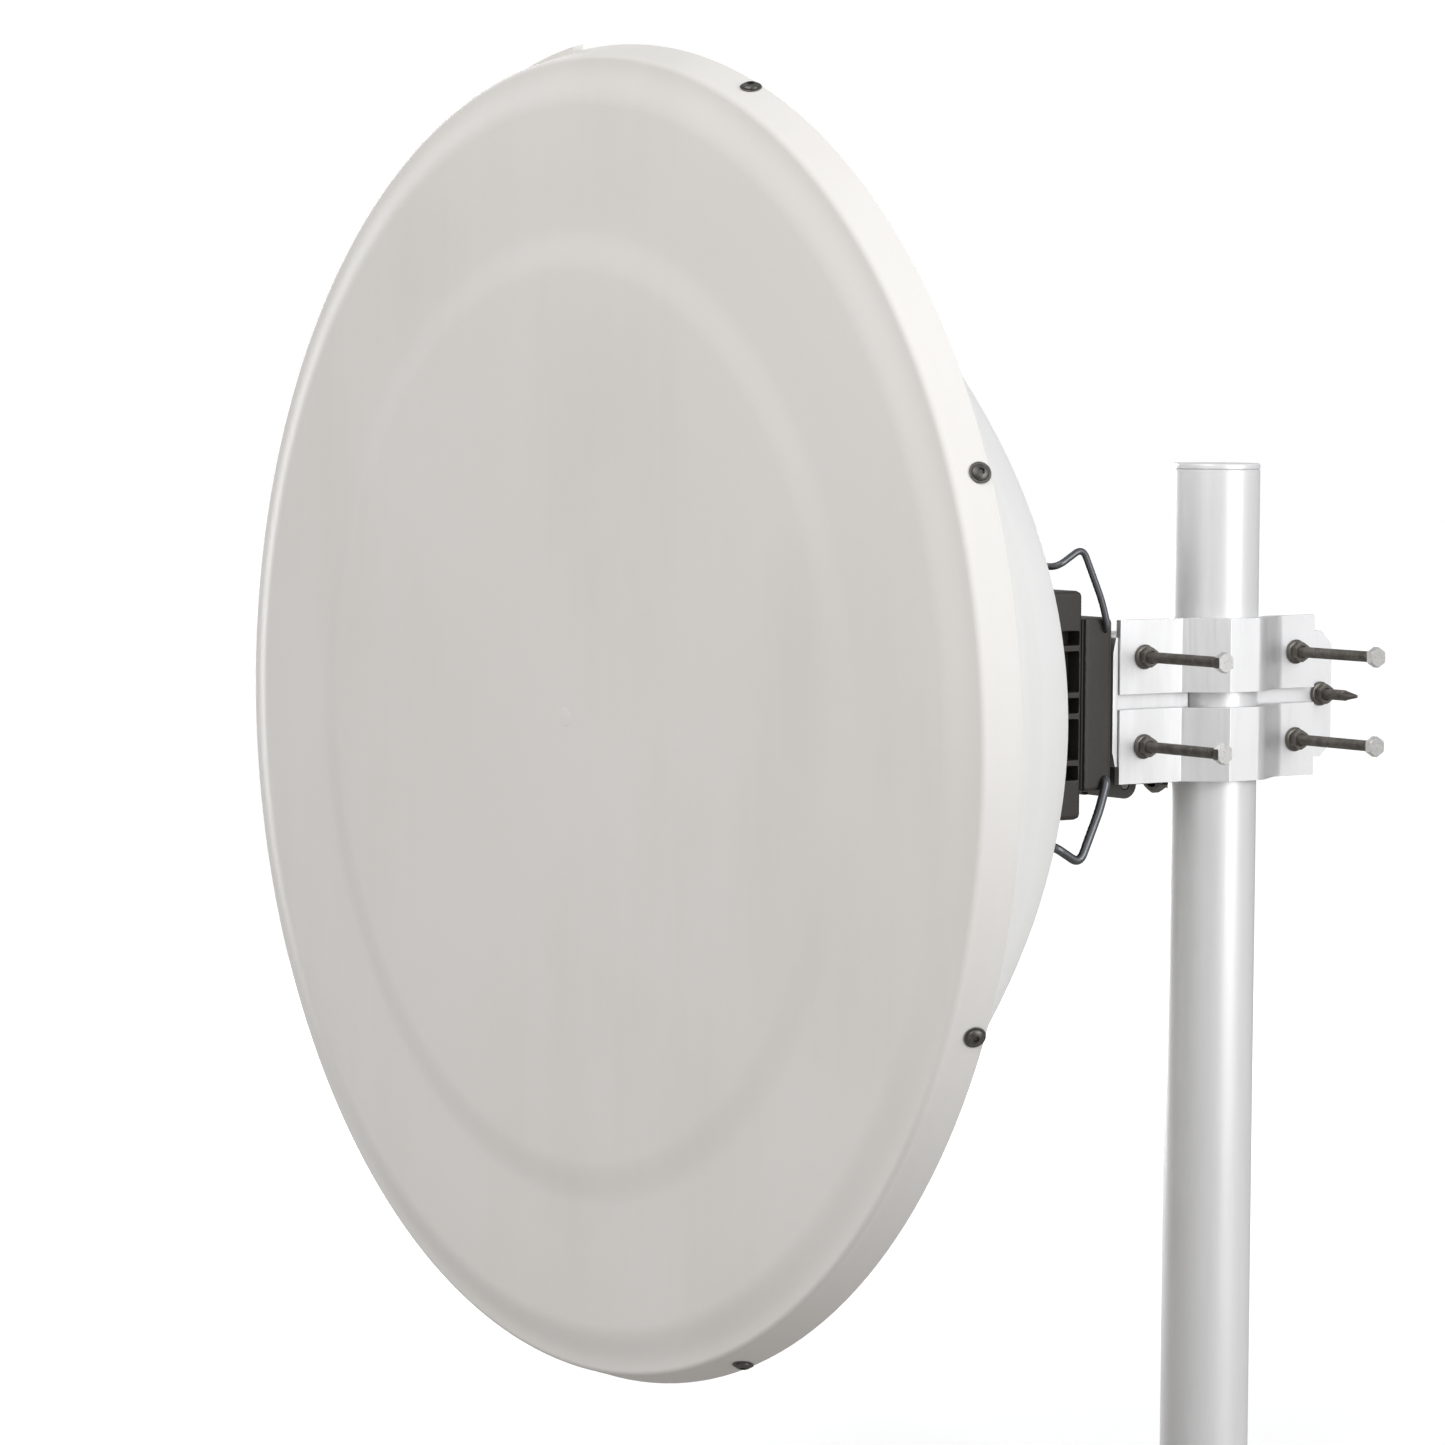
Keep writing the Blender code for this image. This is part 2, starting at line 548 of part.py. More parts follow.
# ---------------------------------------------------------------- radio unit
def make_radio():
    """A ribbed die-cast housing with a gasket, a rear cover, a circuit board and a waveguide."""
    width = RADIO_HALF_WIDTH
    housing = box("radio_housing", on_dish(-width, RADIO_FRONT, -RADIO_HALF_HEIGHT),
                  on_dish(width, RADIO_REAR, RADIO_HALF_HEIGHT), DARK_CAST, bevel=CASTING_EDGE)
    floor = RADIO_FRONT - RADIO_WALL
    cut(housing, box("radio_cavity", on_dish(-CAVITY_HALF_WIDTH, floor, -CAVITY_HALF_HEIGHT),
                     on_dish(CAVITY_HALF_WIDTH, RADIO_REAR - 0.01, CAVITY_HALF_HEIGHT), None, CUTTERS))
    cut(housing, cylinder("guide_hole", GUIDE_RADIUS + 2 * GAP, on_dish(0, floor - 0.01, 0),
                          on_dish(0, RADIO_FRONT + 0.01, 0), None, CUTTERS))
    edges = [-WINDOW_HALF_ZONE]
    for height in RIB_HEIGHTS:
        edges += [height - RIB / 2, height + RIB / 2]
    edges.append(WINDOW_HALF_ZONE)
    for side in (-1, 1):
        for number, (low, high) in enumerate(zip(edges[::2], edges[1::2])):
            ends = sorted((side * (width - WINDOW_DEPTH), side * (width + 0.01)))
            cut(housing, box(f"window_{'left' if side < 0 else 'right'}_{number + 1}",
                             on_dish(ends[0], RADIO_FRONT - WINDOW_FRONT_WALL, low),
                             on_dish(ends[1], RADIO_REAR + WINDOW_REAR_WALL, high), None, CUTTERS))
    post_end = BOARD_DEPTH + GAP
    for across in (-POST_X, POST_X):
        for up in (-POST_Z, POST_Z):
            unite(housing, cylinder(f"board_post_{across:+.2f}_{up:+.2f}", POST_RADIUS,
                                    on_dish(across, floor + 0.002, up), on_dish(across, post_end, up),
                                    None, CUTTERS, 12))

    inner_width = width - COVER_SIDE
    inner_height = COVER_HALF_HEIGHT - COVER_SIDE
    gasket_rear = RADIO_REAR - GAP - GASKET_THICK
    gasket = box("radio_gasket", on_dish(-width + 0.002, RADIO_REAR - GAP, -COVER_HALF_HEIGHT + 0.002),
                 on_dish(width - 0.002, gasket_rear, COVER_HALF_HEIGHT - 0.002), RUBBER)
    cut(gasket, box("gasket_window", on_dish(-inner_width, RADIO_REAR + 0.01, -inner_height),
                    on_dish(inner_width, gasket_rear - 0.01, inner_height), None, CUTTERS))
    cover = box("radio_cover", on_dish(-width, COVER_FRONT, -COVER_HALF_HEIGHT),
                on_dish(width, COVER_REAR, COVER_HALF_HEIGHT), DARK_CAST, bevel=CASTING_EDGE)
    cut(cover, box("cover_pocket", on_dish(-inner_width, COVER_FRONT + 0.01, -inner_height),
                   on_dish(inner_width, COVER_REAR + COVER_WALL, inner_height), None, CUTTERS))
    for side in (-1, 1):
        for up in (-1, 1):
            cut(cover, cylinder(f"latch_hole_{side}_{up}", LATCH_WIRE + GAP,
                                on_dish(side * (width - LATCH_PIN_DEPTH - GAP), LATCH_PIVOT_DEPTH, up * LATCH_PIVOT_Z),
                                on_dish(side * (width + 0.01), LATCH_PIVOT_DEPTH, up * LATCH_PIVOT_Z),
                                None, CUTTERS, 16))
    for index, (across, up) in enumerate(bracket_bolt_places()):
        cut(cover, cylinder(f"bracket_hole_{index + 1}", SMALL_BOLT_RADIUS + GAP,
                            on_dish(across, COVER_REAR + 0.02, up), on_dish(across, COVER_REAR - 0.01, up),
                            None, CUTTERS, 12))
    make_fittings(cover)

    box("main_board", on_dish(-CAVITY_HALF_WIDTH + 0.004, BOARD_DEPTH, -CAVITY_HALF_HEIGHT + 0.003),
        on_dish(CAVITY_HALF_WIDTH - 0.004, BOARD_DEPTH - BOARD_THICK, CAVITY_HALF_HEIGHT - 0.003), GREEN_BOARD)
    shield_rear = BOARD_DEPTH + GAP
    box("rf_shield", on_dish(-SHIELD_HALF, shield_rear + SHIELD_THICK, -SHIELD_HALF),
        on_dish(SHIELD_HALF, shield_rear, SHIELD_HALF), STEEL)
    guide_rear = shield_rear + SHIELD_THICK + GAP
    guide = turned("waveguide", [(GUIDE_RADIUS, HUB_DEPTH - GAP), (GUIDE_RADIUS, guide_rear),
                                 (FEED_BORE, guide_rear), (FEED_BORE, HUB_DEPTH - GAP)],
                   ALUMINIUM, at=DISH_AXIS, turn=FRONT_TURN, steps=32)
    smooth(guide)


def make_fittings(cover):
    """A cable gland with its blanking plug, and a vent plug, under the rear cover."""
    middle = (COVER_FRONT + COVER_REAR) / 2
    low = -COVER_HALF_HEIGHT
    across = GLAND_X
    body = cylinder("cable_gland", GLAND_RADIUS, on_dish(across, middle, low - GAP),
                    on_dish(across, middle, low - GLAND_LENGTH), BLACK_PLASTIC, sides=24)
    unite(body, cylinder("gland_thread", GLAND_RADIUS * 0.7, on_dish(across, middle, low - 0.001),
                         on_dish(across, middle, low + 0.008), None, CUTTERS))
    cut(cover, cylinder("gland_hole", GLAND_RADIUS * 0.7 + GAP, on_dish(across, middle, low - 0.01),
                        on_dish(across, middle, low + COVER_SIDE + 0.01), None, CUTTERS))
    bore = GLAND_RADIUS * 0.5
    cut(body, cylinder("gland_bore", bore + GAP, on_dish(across, middle, low - GLAND_LENGTH - 0.01),
                       on_dish(across, middle, low + 0.02), None, CUTTERS))
    smooth(body)
    plug = cylinder("gland_plug", bore, on_dish(across, middle, low - 0.002),
                    on_dish(across, middle, low - GLAND_LENGTH - 0.002), RUBBER)
    unite(plug, cylinder("plug_head", GLAND_RADIUS * 0.75, on_dish(across, middle, low - GLAND_LENGTH - GAP),
                         on_dish(across, middle, low - GLAND_LENGTH - 0.0035), None, CUTTERS))
    smooth(plug)
    across = VENT_X
    vent = cylinder("vent_plug", VENT_RADIUS, on_dish(across, middle, low - GAP),
                    on_dish(across, middle, low - VENT_HEIGHT), BLACK_PLASTIC, sides=20)
    unite(vent, cylinder("vent_thread", VENT_RADIUS * 0.6, on_dish(across, middle, low - 0.002),
                         on_dish(across, middle, low + 0.006), None, CUTTERS, 16))
    cut(cover, cylinder("vent_hole", VENT_RADIUS * 0.6 + GAP, on_dish(across, middle, low - 0.01),
                        on_dish(across, middle, low + COVER_SIDE + 0.01), None, CUTTERS, 16))
    smooth(vent)


def rounded_path(points, bend, count=3):
    """The points of a bent wire: each inner corner becomes a short arc."""
    path = [Vector(points[0])]
    for before, corner, after in zip(points, points[1:], points[2:]):
        corner = Vector(corner)
        toward = Vector(before) - corner
        away = Vector(after) - corner
        reach = min(bend, toward.length * 0.45, away.length * 0.45)
        first = corner + toward.normalized() * reach
        last = corner + away.normalized() * reach
        for i in range(count + 1):
            t = i / count
            path.append(first * (1 - t) ** 2 + corner * 2 * t * (1 - t) + last * t * t)
    path.append(Vector(points[-1]))
    return path


def make_latch(name, side):
    """A wire bail, hinged on the cover's two sides, that hooks over a keeper of the hub collar."""
    pivot = Vector(on_dish(0, LATCH_PIVOT_DEPTH, side * LATCH_PIVOT_Z))
    inner = RADIO_HALF_WIDTH - LATCH_PIN_DEPTH + GAP
    half = [(inner, 0, 0), (LATCH_X, 0, 0)]
    for forward, outward in (LATCH_KNEE, LATCH_PEAK, LATCH_HOOK):
        half.append((LATCH_X, -forward, side * outward))
    path = rounded_path(half + [(-x, y, z) for x, y, z in reversed(half)], LATCH_BEND)
    curve = bpy.data.curves.new(name, "CURVE")
    curve.dimensions = "3D"
    curve.bevel_depth = LATCH_WIRE
    curve.bevel_resolution = 2
    curve.use_fill_caps = True
    spline = curve.splines.new("POLY")
    spline.points.add(len(path) - 1)
    for point, place in zip(spline.points, path):
        point.co = (*place, 1)
    placed(name, curve, DARK_STEEL, PARTS, pivot)


# ---------------------------------------------------------------- tilt bracket
def bracket_bolt_places():
    """Across and up from the dish axis, for the four bolts into the radio's cover."""
    return [(across, up) for across in (-CROSS_BOLT_X, CROSS_BOLT_X)
            for up in (-CROSS_BOLT_Z, CROSS_BOLT_Z)]


def cheek_outline():
    """The side of the bracket, as (forward, up) from the mast axis and the dish axis."""
    points = [(COVER_REAR - GAP, CROSS_HALF_HEIGHT), (CROSS_REAR - 0.002, CROSS_HALF_HEIGHT)]
    points += [(PIVOT_DEPTH - y, z) for y, z in arc((0, 0), NOSE_RADIUS, 70, -5, 6)]
    lever = (0, -LEVER_LENGTH)
    points += [(PIVOT_DEPTH - y, z) for y, z in arc(lever, LEVER_END_RADIUS, 10, -95, 7)]
    points.append((COVER_REAR - GAP, -CROSS_HALF_HEIGHT - 0.012))
    return points


def make_bracket():
    """The dark cast fork: a cross plate on the radio's cover and two cheeks with a lever end."""
    bracket = box("tilt_bracket", on_dish(-CHEEK_OUTER, COVER_REAR - GAP, -CROSS_HALF_HEIGHT),
                  on_dish(CHEEK_OUTER, CROSS_REAR, CROSS_HALF_HEIGHT), DARK_CAST)
    for side in (-1, 1):
        across = side * (CHEEK_INNER + CHEEK_THICK / 2)
        # the outline's own X runs forward (-Y) and its own Y runs up
        standing = Matrix(((0, 0, 1), (-1, 0, 0), (0, 1, 0)))
        flipped = [(forward, up) for forward, up in cheek_outline()]
        unite(bracket, prism(f"cheek_{side:+d}", flipped, CHEEK_THICK, None, CUTTERS,
                             on_dish(across, 0, 0), standing))
    reach = CHEEK_OUTER + 0.01
    cut(bracket, cylinder("pin_hole", PIN_RADIUS + GAP, on_dish(-reach, PIVOT_DEPTH, 0),
                          on_dish(reach, PIVOT_DEPTH, 0), None, CUTTERS))
    cut(bracket, cylinder("lever_hole", BOLT_RADIUS + GAP, on_dish(-reach, PIVOT_DEPTH, -LEVER_LENGTH),
                          on_dish(reach, PIVOT_DEPTH, -LEVER_LENGTH), None, CUTTERS, 16))
    for index, (across, up) in enumerate(bracket_bolt_places()):
        cut(bracket, cylinder(f"cross_hole_{index + 1}", SMALL_BOLT_RADIUS + GAP,
                              on_dish(across, COVER_REAR + 0.01, up), on_dish(across, CROSS_REAR - 0.01, up),
                              None, CUTTERS, 12))
        hex_bolt(f"bracket_bolt_{index + 1}", on_dish(across, CROSS_REAR - GAP, up), (0, -1, 0), CROSS_BOLT_LENGTH, STEEL,
                 SMALL_BOLT_RADIUS, SMALL_HEX, SMALL_HEAD, 12)
    hex_bolt("tilt_pin", on_dish(-CHEEK_OUTER - GAP, PIVOT_DEPTH, 0), (1, 0, 0), 2 * CHEEK_OUTER, STEEL,
             PIN_RADIUS, TILT_HEX, TILT_HEAD, 24)
    hex_bolt("lever_pin", on_dish(-CHEEK_OUTER - GAP, PIVOT_DEPTH, -LEVER_LENGTH), (1, 0, 0), 2 * CHEEK_OUTER, STEEL)


# ---------------------------------------------------------------- elevation rod
def make_rod():
    """The threaded rod under the clamp that sets the tilt: an eye, a hexagon sleeve and a long thread."""
    up = -LEVER_LENGTH
    eye = ROD_EYE_HALF_WIDTH
    rod = cylinder("elevation_rod", ROD_EYE_RADIUS, on_dish(-eye, PIVOT_DEPTH, up), on_dish(eye, PIVOT_DEPTH, up),
                   DARK_STEEL, sides=24)
    unite(rod, cylinder("rod_shank", ROD_RADIUS, on_dish(0, PIVOT_DEPTH - ROD_RADIUS, up), on_dish(0, -ROD_END, up),
                        None, CUTTERS, 20))
    unite(rod, cylinder("rod_sleeve", SLEEVE_RADIUS, on_dish(0, SLEEVE_FRONT, up),
                        on_dish(0, SLEEVE_FRONT - SLEEVE_LENGTH, up), None, CUTTERS, 6))
    cut(rod, cylinder("eye_hole", BOLT_RADIUS + GAP, on_dish(-eye - 0.01, PIVOT_DEPTH, up),
                      on_dish(eye + 0.01, PIVOT_DEPTH, up), None, CUTTERS, 16))
    smooth(rod)

    top = -BODY_HALF_HEIGHT - GAP
    half = BARREL_HALF_WIDTH + GAP
    outer = half + ANCHOR_EAR
    front = -ANCHOR_Y + ANCHOR_HALF_LENGTH
    rear = -ANCHOR_Y - ANCHOR_HALF_LENGTH
    low = up - BARREL_RADIUS + 0.002
    anchor = box("rod_anchor", on_dish(-outer, front, low), on_dish(outer, rear, top), DARK_CAST, bevel=0.0015,
                 segments=1)
    cut(anchor, box("anchor_slot", on_dish(-half, front + 0.01, low - 0.01),
                    on_dish(half, rear - 0.01, top - ANCHOR_EAR), None, CUTTERS))
    cut(anchor, cylinder("anchor_hole", BOLT_RADIUS + GAP, on_dish(-outer - 0.01, -ANCHOR_Y, up),
                         on_dish(outer + 0.01, -ANCHOR_Y, up), None, CUTTERS, 16))
    barrel = cylinder("anchor_barrel", BARREL_RADIUS, on_dish(-BARREL_HALF_WIDTH, -ANCHOR_Y, up),
                      on_dish(BARREL_HALF_WIDTH, -ANCHOR_Y, up), STEEL)
    unite(barrel, cylinder("barrel_stubs", BOLT_RADIUS, on_dish(-outer + 0.001, -ANCHOR_Y, up),
                           on_dish(outer - 0.001, -ANCHOR_Y, up), None, CUTTERS, 16))
    cut(barrel, cylinder("barrel_bore", ROD_RADIUS + ROD_PLAY, on_dish(0, 0.05, up), on_dish(0, -0.05, up),
                         None, CUTTERS))
    smooth(barrel)
    for name, near in (("rod_nut_front", front + GAP + ROD_NUT_THICK), ("rod_nut_rear", rear - GAP)):
        nut = cylinder(name, ROD_NUT_RADIUS, on_dish(0, near, up), on_dish(0, near - ROD_NUT_THICK, up), STEEL,
                       sides=6)
        cut(nut, cylinder(name + "_bore", ROD_RADIUS + ROD_PLAY, on_dish(0, near + 0.01, up),
                          on_dish(0, near - ROD_NUT_THICK - 0.01, up), None, CUTTERS))


# ---------------------------------------------------------------- clamp
def make_block():
    """The aluminium block: a hollow body beside the mast, a tilt nose and a tall front plate."""
    z = DISH_Z
    body = box("clamp_block", (DISH_X - NOSE_HALF_WIDTH, BODY_LEFT, z - BODY_HALF_HEIGHT),
               (DISH_X + NOSE_HALF_WIDTH, BODY_RIGHT, z + BODY_HALF_HEIGHT), ALUMINIUM)
    unite(body, box("block_arms", (DISH_X + NOSE_HALF_WIDTH - 0.001, ARM_LEFT, z - BODY_HALF_HEIGHT),
                    (PLATE_BACK + 0.001, BODY_RIGHT, z + BODY_HALF_HEIGHT), None, CUTTERS))
    unite(body, cylinder("block_nose", NOSE_RADIUS, (DISH_X - NOSE_HALF_WIDTH, -PIVOT_DEPTH, z),
                         (DISH_X + NOSE_HALF_WIDTH, -PIVOT_DEPTH, z), None, CUTTERS, 32))
    tall = PLATE_HALF_HEIGHT
    outline = [(PLATE_LEFT, -tall), (PLATE_RIGHT - PLATE_CHAMFER, -tall), (PLATE_RIGHT, -tall + PLATE_CHAMFER),
               (PLATE_RIGHT, tall - PLATE_CHAMFER), (PLATE_RIGHT - PLATE_CHAMFER, tall), (PLATE_LEFT, tall)]
    upright = Matrix(((0, 0, 1), (1, 0, 0), (0, 1, 0)))
    unite(body, prism("block_plate", outline, PLATE_THICK, None, CUTTERS,
                      ((PLATE_BACK + PLATE_FRONT) / 2, 0, z), upright))
    low = z - MOUTH_REACH
    high = z + MOUTH_REACH
    seat = MAST_RADIUS + GAP
    cut(body, cylinder("mast_seat", seat, (0, 0, low), (0, 0, high), None, CUTTERS, 64))
    cut(body, box("mast_mouth", (0, -seat, low), (MOUTH_REACH, seat, high), None, CUTTERS))
    inner = DISH_X - NOSE_HALF_WIDTH + BODY_WALL
    cut(body, box("block_hollow", (inner, BODY_LEFT + BODY_WALL, low),
                  (-MAST_RADIUS - BODY_WALL, BODY_RIGHT - BODY_WALL, high), None, CUTTERS))
    cut(body, cylinder("nose_bore", PIN_RADIUS + GAP, (DISH_X - MOUTH_REACH, -PIVOT_DEPTH, z), (PLATE_BACK, -PIVOT_DEPTH, z),
                       None, CUTTERS))
    for row, up in (("upper", SADDLE_CENTRE), ("lower", -SADDLE_CENTRE)):
        for number, y in enumerate(BOLT_YS):
            cut(body, cylinder(f"block_hole_{row}_{number}", BOLT_RADIUS + GAP, (PLATE_BACK - 0.002, y, z + up),
                               (PLATE_FRONT + 0.01, y, z + up), None, CUTTERS, 16))
    cut(body, cylinder("stud_hole", BOLT_RADIUS + GAP, (PLATE_BACK - 0.01, STUD_Y, z), (PLATE_FRONT + 0.01, STUD_Y, z),
                       None, CUTTERS, 16))


def saddle_outline():
    """A saddle in plan: two flanges and a raised bridge whose sloped walls seat on the mast."""
    slope = SADDLE_SLOPE.normalized()
    seat = MAST_RADIUS + GAP
    inner_flange = SADDLE_OUTER - SADDLE_THICK
    inner_front = max(SADDLE_FRONT - SADDLE_THICK, seat)
    foot = (seat - slope.y * inner_flange) / slope.x
    crown = (seat - slope.y * inner_front) / slope.x
    return [(SADDLE_OUTER, SADDLE_LEFT), (SADDLE_OUTER, -SADDLE_FOOT_HALF), (SADDLE_FRONT, -SADDLE_FRONT_HALF),
            (SADDLE_FRONT, SADDLE_FRONT_HALF), (SADDLE_OUTER, SADDLE_FOOT_HALF), (SADDLE_OUTER, SADDLE_RIGHT),
            (inner_flange, SADDLE_RIGHT), (inner_flange, foot), (inner_front, crown), (inner_front, -crown),
            (inner_flange, -foot), (inner_flange, SADDLE_LEFT)]


def make_saddles():
    """Two saddles on long fixed bolts, each held by two flanged nuts."""
    number = 1
    for name, up in (("saddle_upper", SADDLE_CENTRE), ("saddle_lower", -SADDLE_CENTRE)):
        saddle = prism(name, saddle_outline(), SADDLE_HEIGHT, ALUMINIUM, PARTS, (0, 0, DISH_Z + up))
        for y in BOLT_YS:
            place = DISH_Z + up
            cut(saddle, cylinder(f"{name}_hole_{number}", BOLT_HOLE, (SADDLE_OUTER - 0.02, y, place),
                                 (SADDLE_OUTER + 0.02, y, place), None, CUTTERS, 16))
            bolt = hex_bolt(f"clamp_bolt_{number}", (BOLT_END, y, place), (-1, 0, 0),
                            BOLT_END - PLATE_BACK - GAP, STEEL)
            smooth(bolt)
            seat = SADDLE_OUTER + GAP
            nut = cylinder(f"clamp_nut_{number}", NUT_FLANGE_RADIUS, (seat, y, place),
                           (seat + NUT_FLANGE_THICK, y, place), DARK_STEEL, sides=20)
            unite(nut, cylinder(f"clamp_nut_hex_{number}", BOLT_HEX, (seat + NUT_FLANGE_THICK / 2, y, place),
                                (seat + NUT_THICK, y, place), None, CUTTERS, 6))
            cut(nut, cylinder(f"clamp_nut_bore_{number}", BOLT_RADIUS + GAP, (seat - 0.01, y, place),
                              (seat + 0.02, y, place), None, CUTTERS, 16))
            number += 1


def make_stud():
    """The earthing stud at the plate's free end, with its flanged nut."""
    end = PLATE_FRONT + STUD_LENGTH
    stud = cylinder("earth_stud", BOLT_RADIUS, (PLATE_BACK + GAP, STUD_Y, DISH_Z), (end - STUD_TIP, STUD_Y, DISH_Z),
                    DARK_STEEL, sides=16)
    unite(stud, cylinder("stud_tip", BOLT_RADIUS, (end - STUD_TIP - 0.001, STUD_Y, DISH_Z), (end, STUD_Y, DISH_Z),
                         None, CUTTERS, 16, tip=STUD_POINT))
    seat = PLATE_FRONT + GAP
    nut = cylinder("earth_nut", NUT_FLANGE_RADIUS, (seat, STUD_Y, DISH_Z), (seat + 0.002, STUD_Y, DISH_Z),
                   DARK_STEEL, sides=20)
    unite(nut, cylinder("earth_nut_hex", BOLT_HEX, (seat + 0.001, STUD_Y, DISH_Z), (seat + NUT_THICK, STUD_Y, DISH_Z),
                        None, CUTTERS, 6))
    cut(nut, cylinder("earth_nut_bore", BOLT_RADIUS + GAP, (seat - 0.01, STUD_Y, DISH_Z), (seat + 0.02, STUD_Y, DISH_Z),
                      None, CUTTERS, 16))


make_mast()
make_reflector()
make_radome()
make_feed()
make_collar()
make_radio()
make_latch("latch_upper", 1)
make_latch("latch_lower", -1)
make_bracket()
make_rod()
make_block()
make_saddles()
make_stud()
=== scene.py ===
"""The outdoor wireless bridge: a covered dish and its radio unit on a two-saddle mast clamp."""
import math

import bmesh
import bpy
from mathutils import Matrix, Vector


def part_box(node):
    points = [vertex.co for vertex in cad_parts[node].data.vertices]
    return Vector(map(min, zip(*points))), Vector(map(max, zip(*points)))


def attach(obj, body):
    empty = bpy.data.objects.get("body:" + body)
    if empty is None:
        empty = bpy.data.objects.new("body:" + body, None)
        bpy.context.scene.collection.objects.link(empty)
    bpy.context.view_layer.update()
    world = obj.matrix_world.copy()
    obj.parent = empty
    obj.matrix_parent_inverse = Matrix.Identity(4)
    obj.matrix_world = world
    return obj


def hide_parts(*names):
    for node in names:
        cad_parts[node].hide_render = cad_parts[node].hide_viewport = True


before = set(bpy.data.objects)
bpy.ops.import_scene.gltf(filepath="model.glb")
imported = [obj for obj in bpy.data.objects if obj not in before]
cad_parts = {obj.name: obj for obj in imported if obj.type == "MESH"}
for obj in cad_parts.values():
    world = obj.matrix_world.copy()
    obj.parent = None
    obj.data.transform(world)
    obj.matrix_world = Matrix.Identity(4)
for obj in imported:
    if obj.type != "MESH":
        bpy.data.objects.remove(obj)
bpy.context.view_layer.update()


# ---------------------------------------------------------------- the mast
# A steel pipe, painted light grey, with a pressed cap on top and a flat foot plug below.
# The pipe is turned as one profile, so that its cut ends have a small rounded lip.
def clear_selection():
    """Leaves edit mode and deselects everything, because an operator acts on all that is selected."""
    if bpy.context.object and bpy.context.object.mode != "OBJECT":
        bpy.ops.object.mode_set(mode="OBJECT")
    bpy.ops.object.select_all(action="DESELECT")


def take(piece):
    """Selects one piece alone and makes it the active one."""
    clear_selection()
    piece.select_set(True)
    bpy.context.view_layer.objects.active = piece


def turned(name, profile, centre, axis, steps=64):
    """Extrudes one vertex along a profile of (radius, distance along the axis) and spins it."""
    axis = Vector(axis)
    side = Vector((1, 0, 0)) if abs(axis.x) < 0.5 else Vector((0, 1, 0))
    side = (side - axis * side.dot(axis)).normalized()
    places = [Vector(centre) + side * radius + axis * along for radius, along in profile]
    clear_selection()
    bpy.ops.mesh.primitive_plane_add(size=0.002, location=places[0])
    piece = bpy.context.object
    piece.name = name
    bpy.ops.object.mode_set(mode="EDIT")
    bpy.ops.mesh.select_mode(type="VERT")
    bpy.ops.mesh.merge(type="CENTER")
    for here, there in zip(places, places[1:]):
        bpy.ops.mesh.extrude_region_move(TRANSFORM_OT_translate={"value": there - here})
    bpy.ops.mesh.select_all(action="SELECT")
    bpy.ops.mesh.spin(steps=steps, angle=math.tau, center=centre, axis=axis)
    bpy.ops.mesh.select_all(action="SELECT")
    bpy.ops.mesh.remove_doubles(threshold=0.00001)
    bpy.ops.mesh.normals_make_consistent(inside=False)
    bpy.ops.object.mode_set(mode="OBJECT")
    return piece


def ring_profile(profile):
    """A closed profile: the same points, ending where they start."""
    return profile + [profile[0]]


def arc(centre, radius, first, last, count):
    """Points on an arc of a profile; angles in degrees."""
    return [(centre[0] + radius * math.cos(math.radians(first + (last - first) * i / count)),
             centre[1] + radius * math.sin(math.radians(first + (last - first) * i / count)))
            for i in range(count + 1)]


def fit(piece, finish, slot, body, *nodes, angle=35, flat_faces=False):
    """Puts a finished piece's place into its mesh and says what it is made of and moves with."""
    take(piece)
    bpy.ops.object.transform_apply(location=True, rotation=True, scale=True)
    bpy.ops.object.shade_smooth_by_angle(angle=math.radians(angle))
    if flat_faces:
        level = piece.modifiers.new("flat_faces", "WEIGHTED_NORMAL")
        level.keep_sharp = True
        level.weight = 100
        bpy.ops.object.modifier_apply(modifier=level.name)
    piece.data.materials.clear()
    piece.data.materials.append(finish)
    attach(piece, body)
    if nodes:
        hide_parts(*nodes)
    return piece


def add(tree, kind, inputs=None, **settings):
    """One shader node, with its settings, and each input set or linked."""
    made = tree.nodes.new(kind)
    for key, value in settings.items():
        setattr(made, key, value)
    for key, value in (inputs or {}).items():
        if isinstance(value, bpy.types.NodeSocket):
            tree.links.new(value, made.inputs[key])
        else:
            made.inputs[key].default_value = value
    return made


def new_group(name, inputs, outputs):
    """A shader node group with named inputs (name: type or (type, value)) and outputs."""
    tree = bpy.data.node_groups.new(name, "ShaderNodeTree")
    for label, (kind, value) in inputs.items():
        socket = tree.interface.new_socket(name=label, in_out="INPUT", socket_type=kind)
        if value is not None:
            socket.default_value = value
    for label, kind in outputs.items():
        tree.interface.new_socket(name=label, in_out="OUTPUT", socket_type=kind)
    return tree, tree.nodes.new("NodeGroupInput").outputs, tree.nodes.new("NodeGroupOutput").inputs


def place_group(tree, group, inputs):
    """A node group set into a tree, with each input set or linked; returns its outputs."""
    made = tree.nodes.new("ShaderNodeGroup")
    made.node_tree = group
    for key, value in inputs.items():
        if isinstance(value, bpy.types.NodeSocket):
            tree.links.new(value, made.inputs[key])
        else:
            made.inputs[key].default_value = value
    return made.outputs


def new_material(name, **sockets):
    """A material with its shader's own values; returns it, its tree, its shader and its coordinates."""
    material = bpy.data.materials.new(name)
    material.use_nodes = True
    tree = material.node_tree
    shader = tree.nodes["Principled BSDF"]
    for key, value in sockets.items():
        shader.inputs[key.replace("_", " ")].default_value = value
    coordinates = tree.nodes.new("ShaderNodeTexCoord").outputs["Object"]
    return material, tree, shader.inputs, coordinates


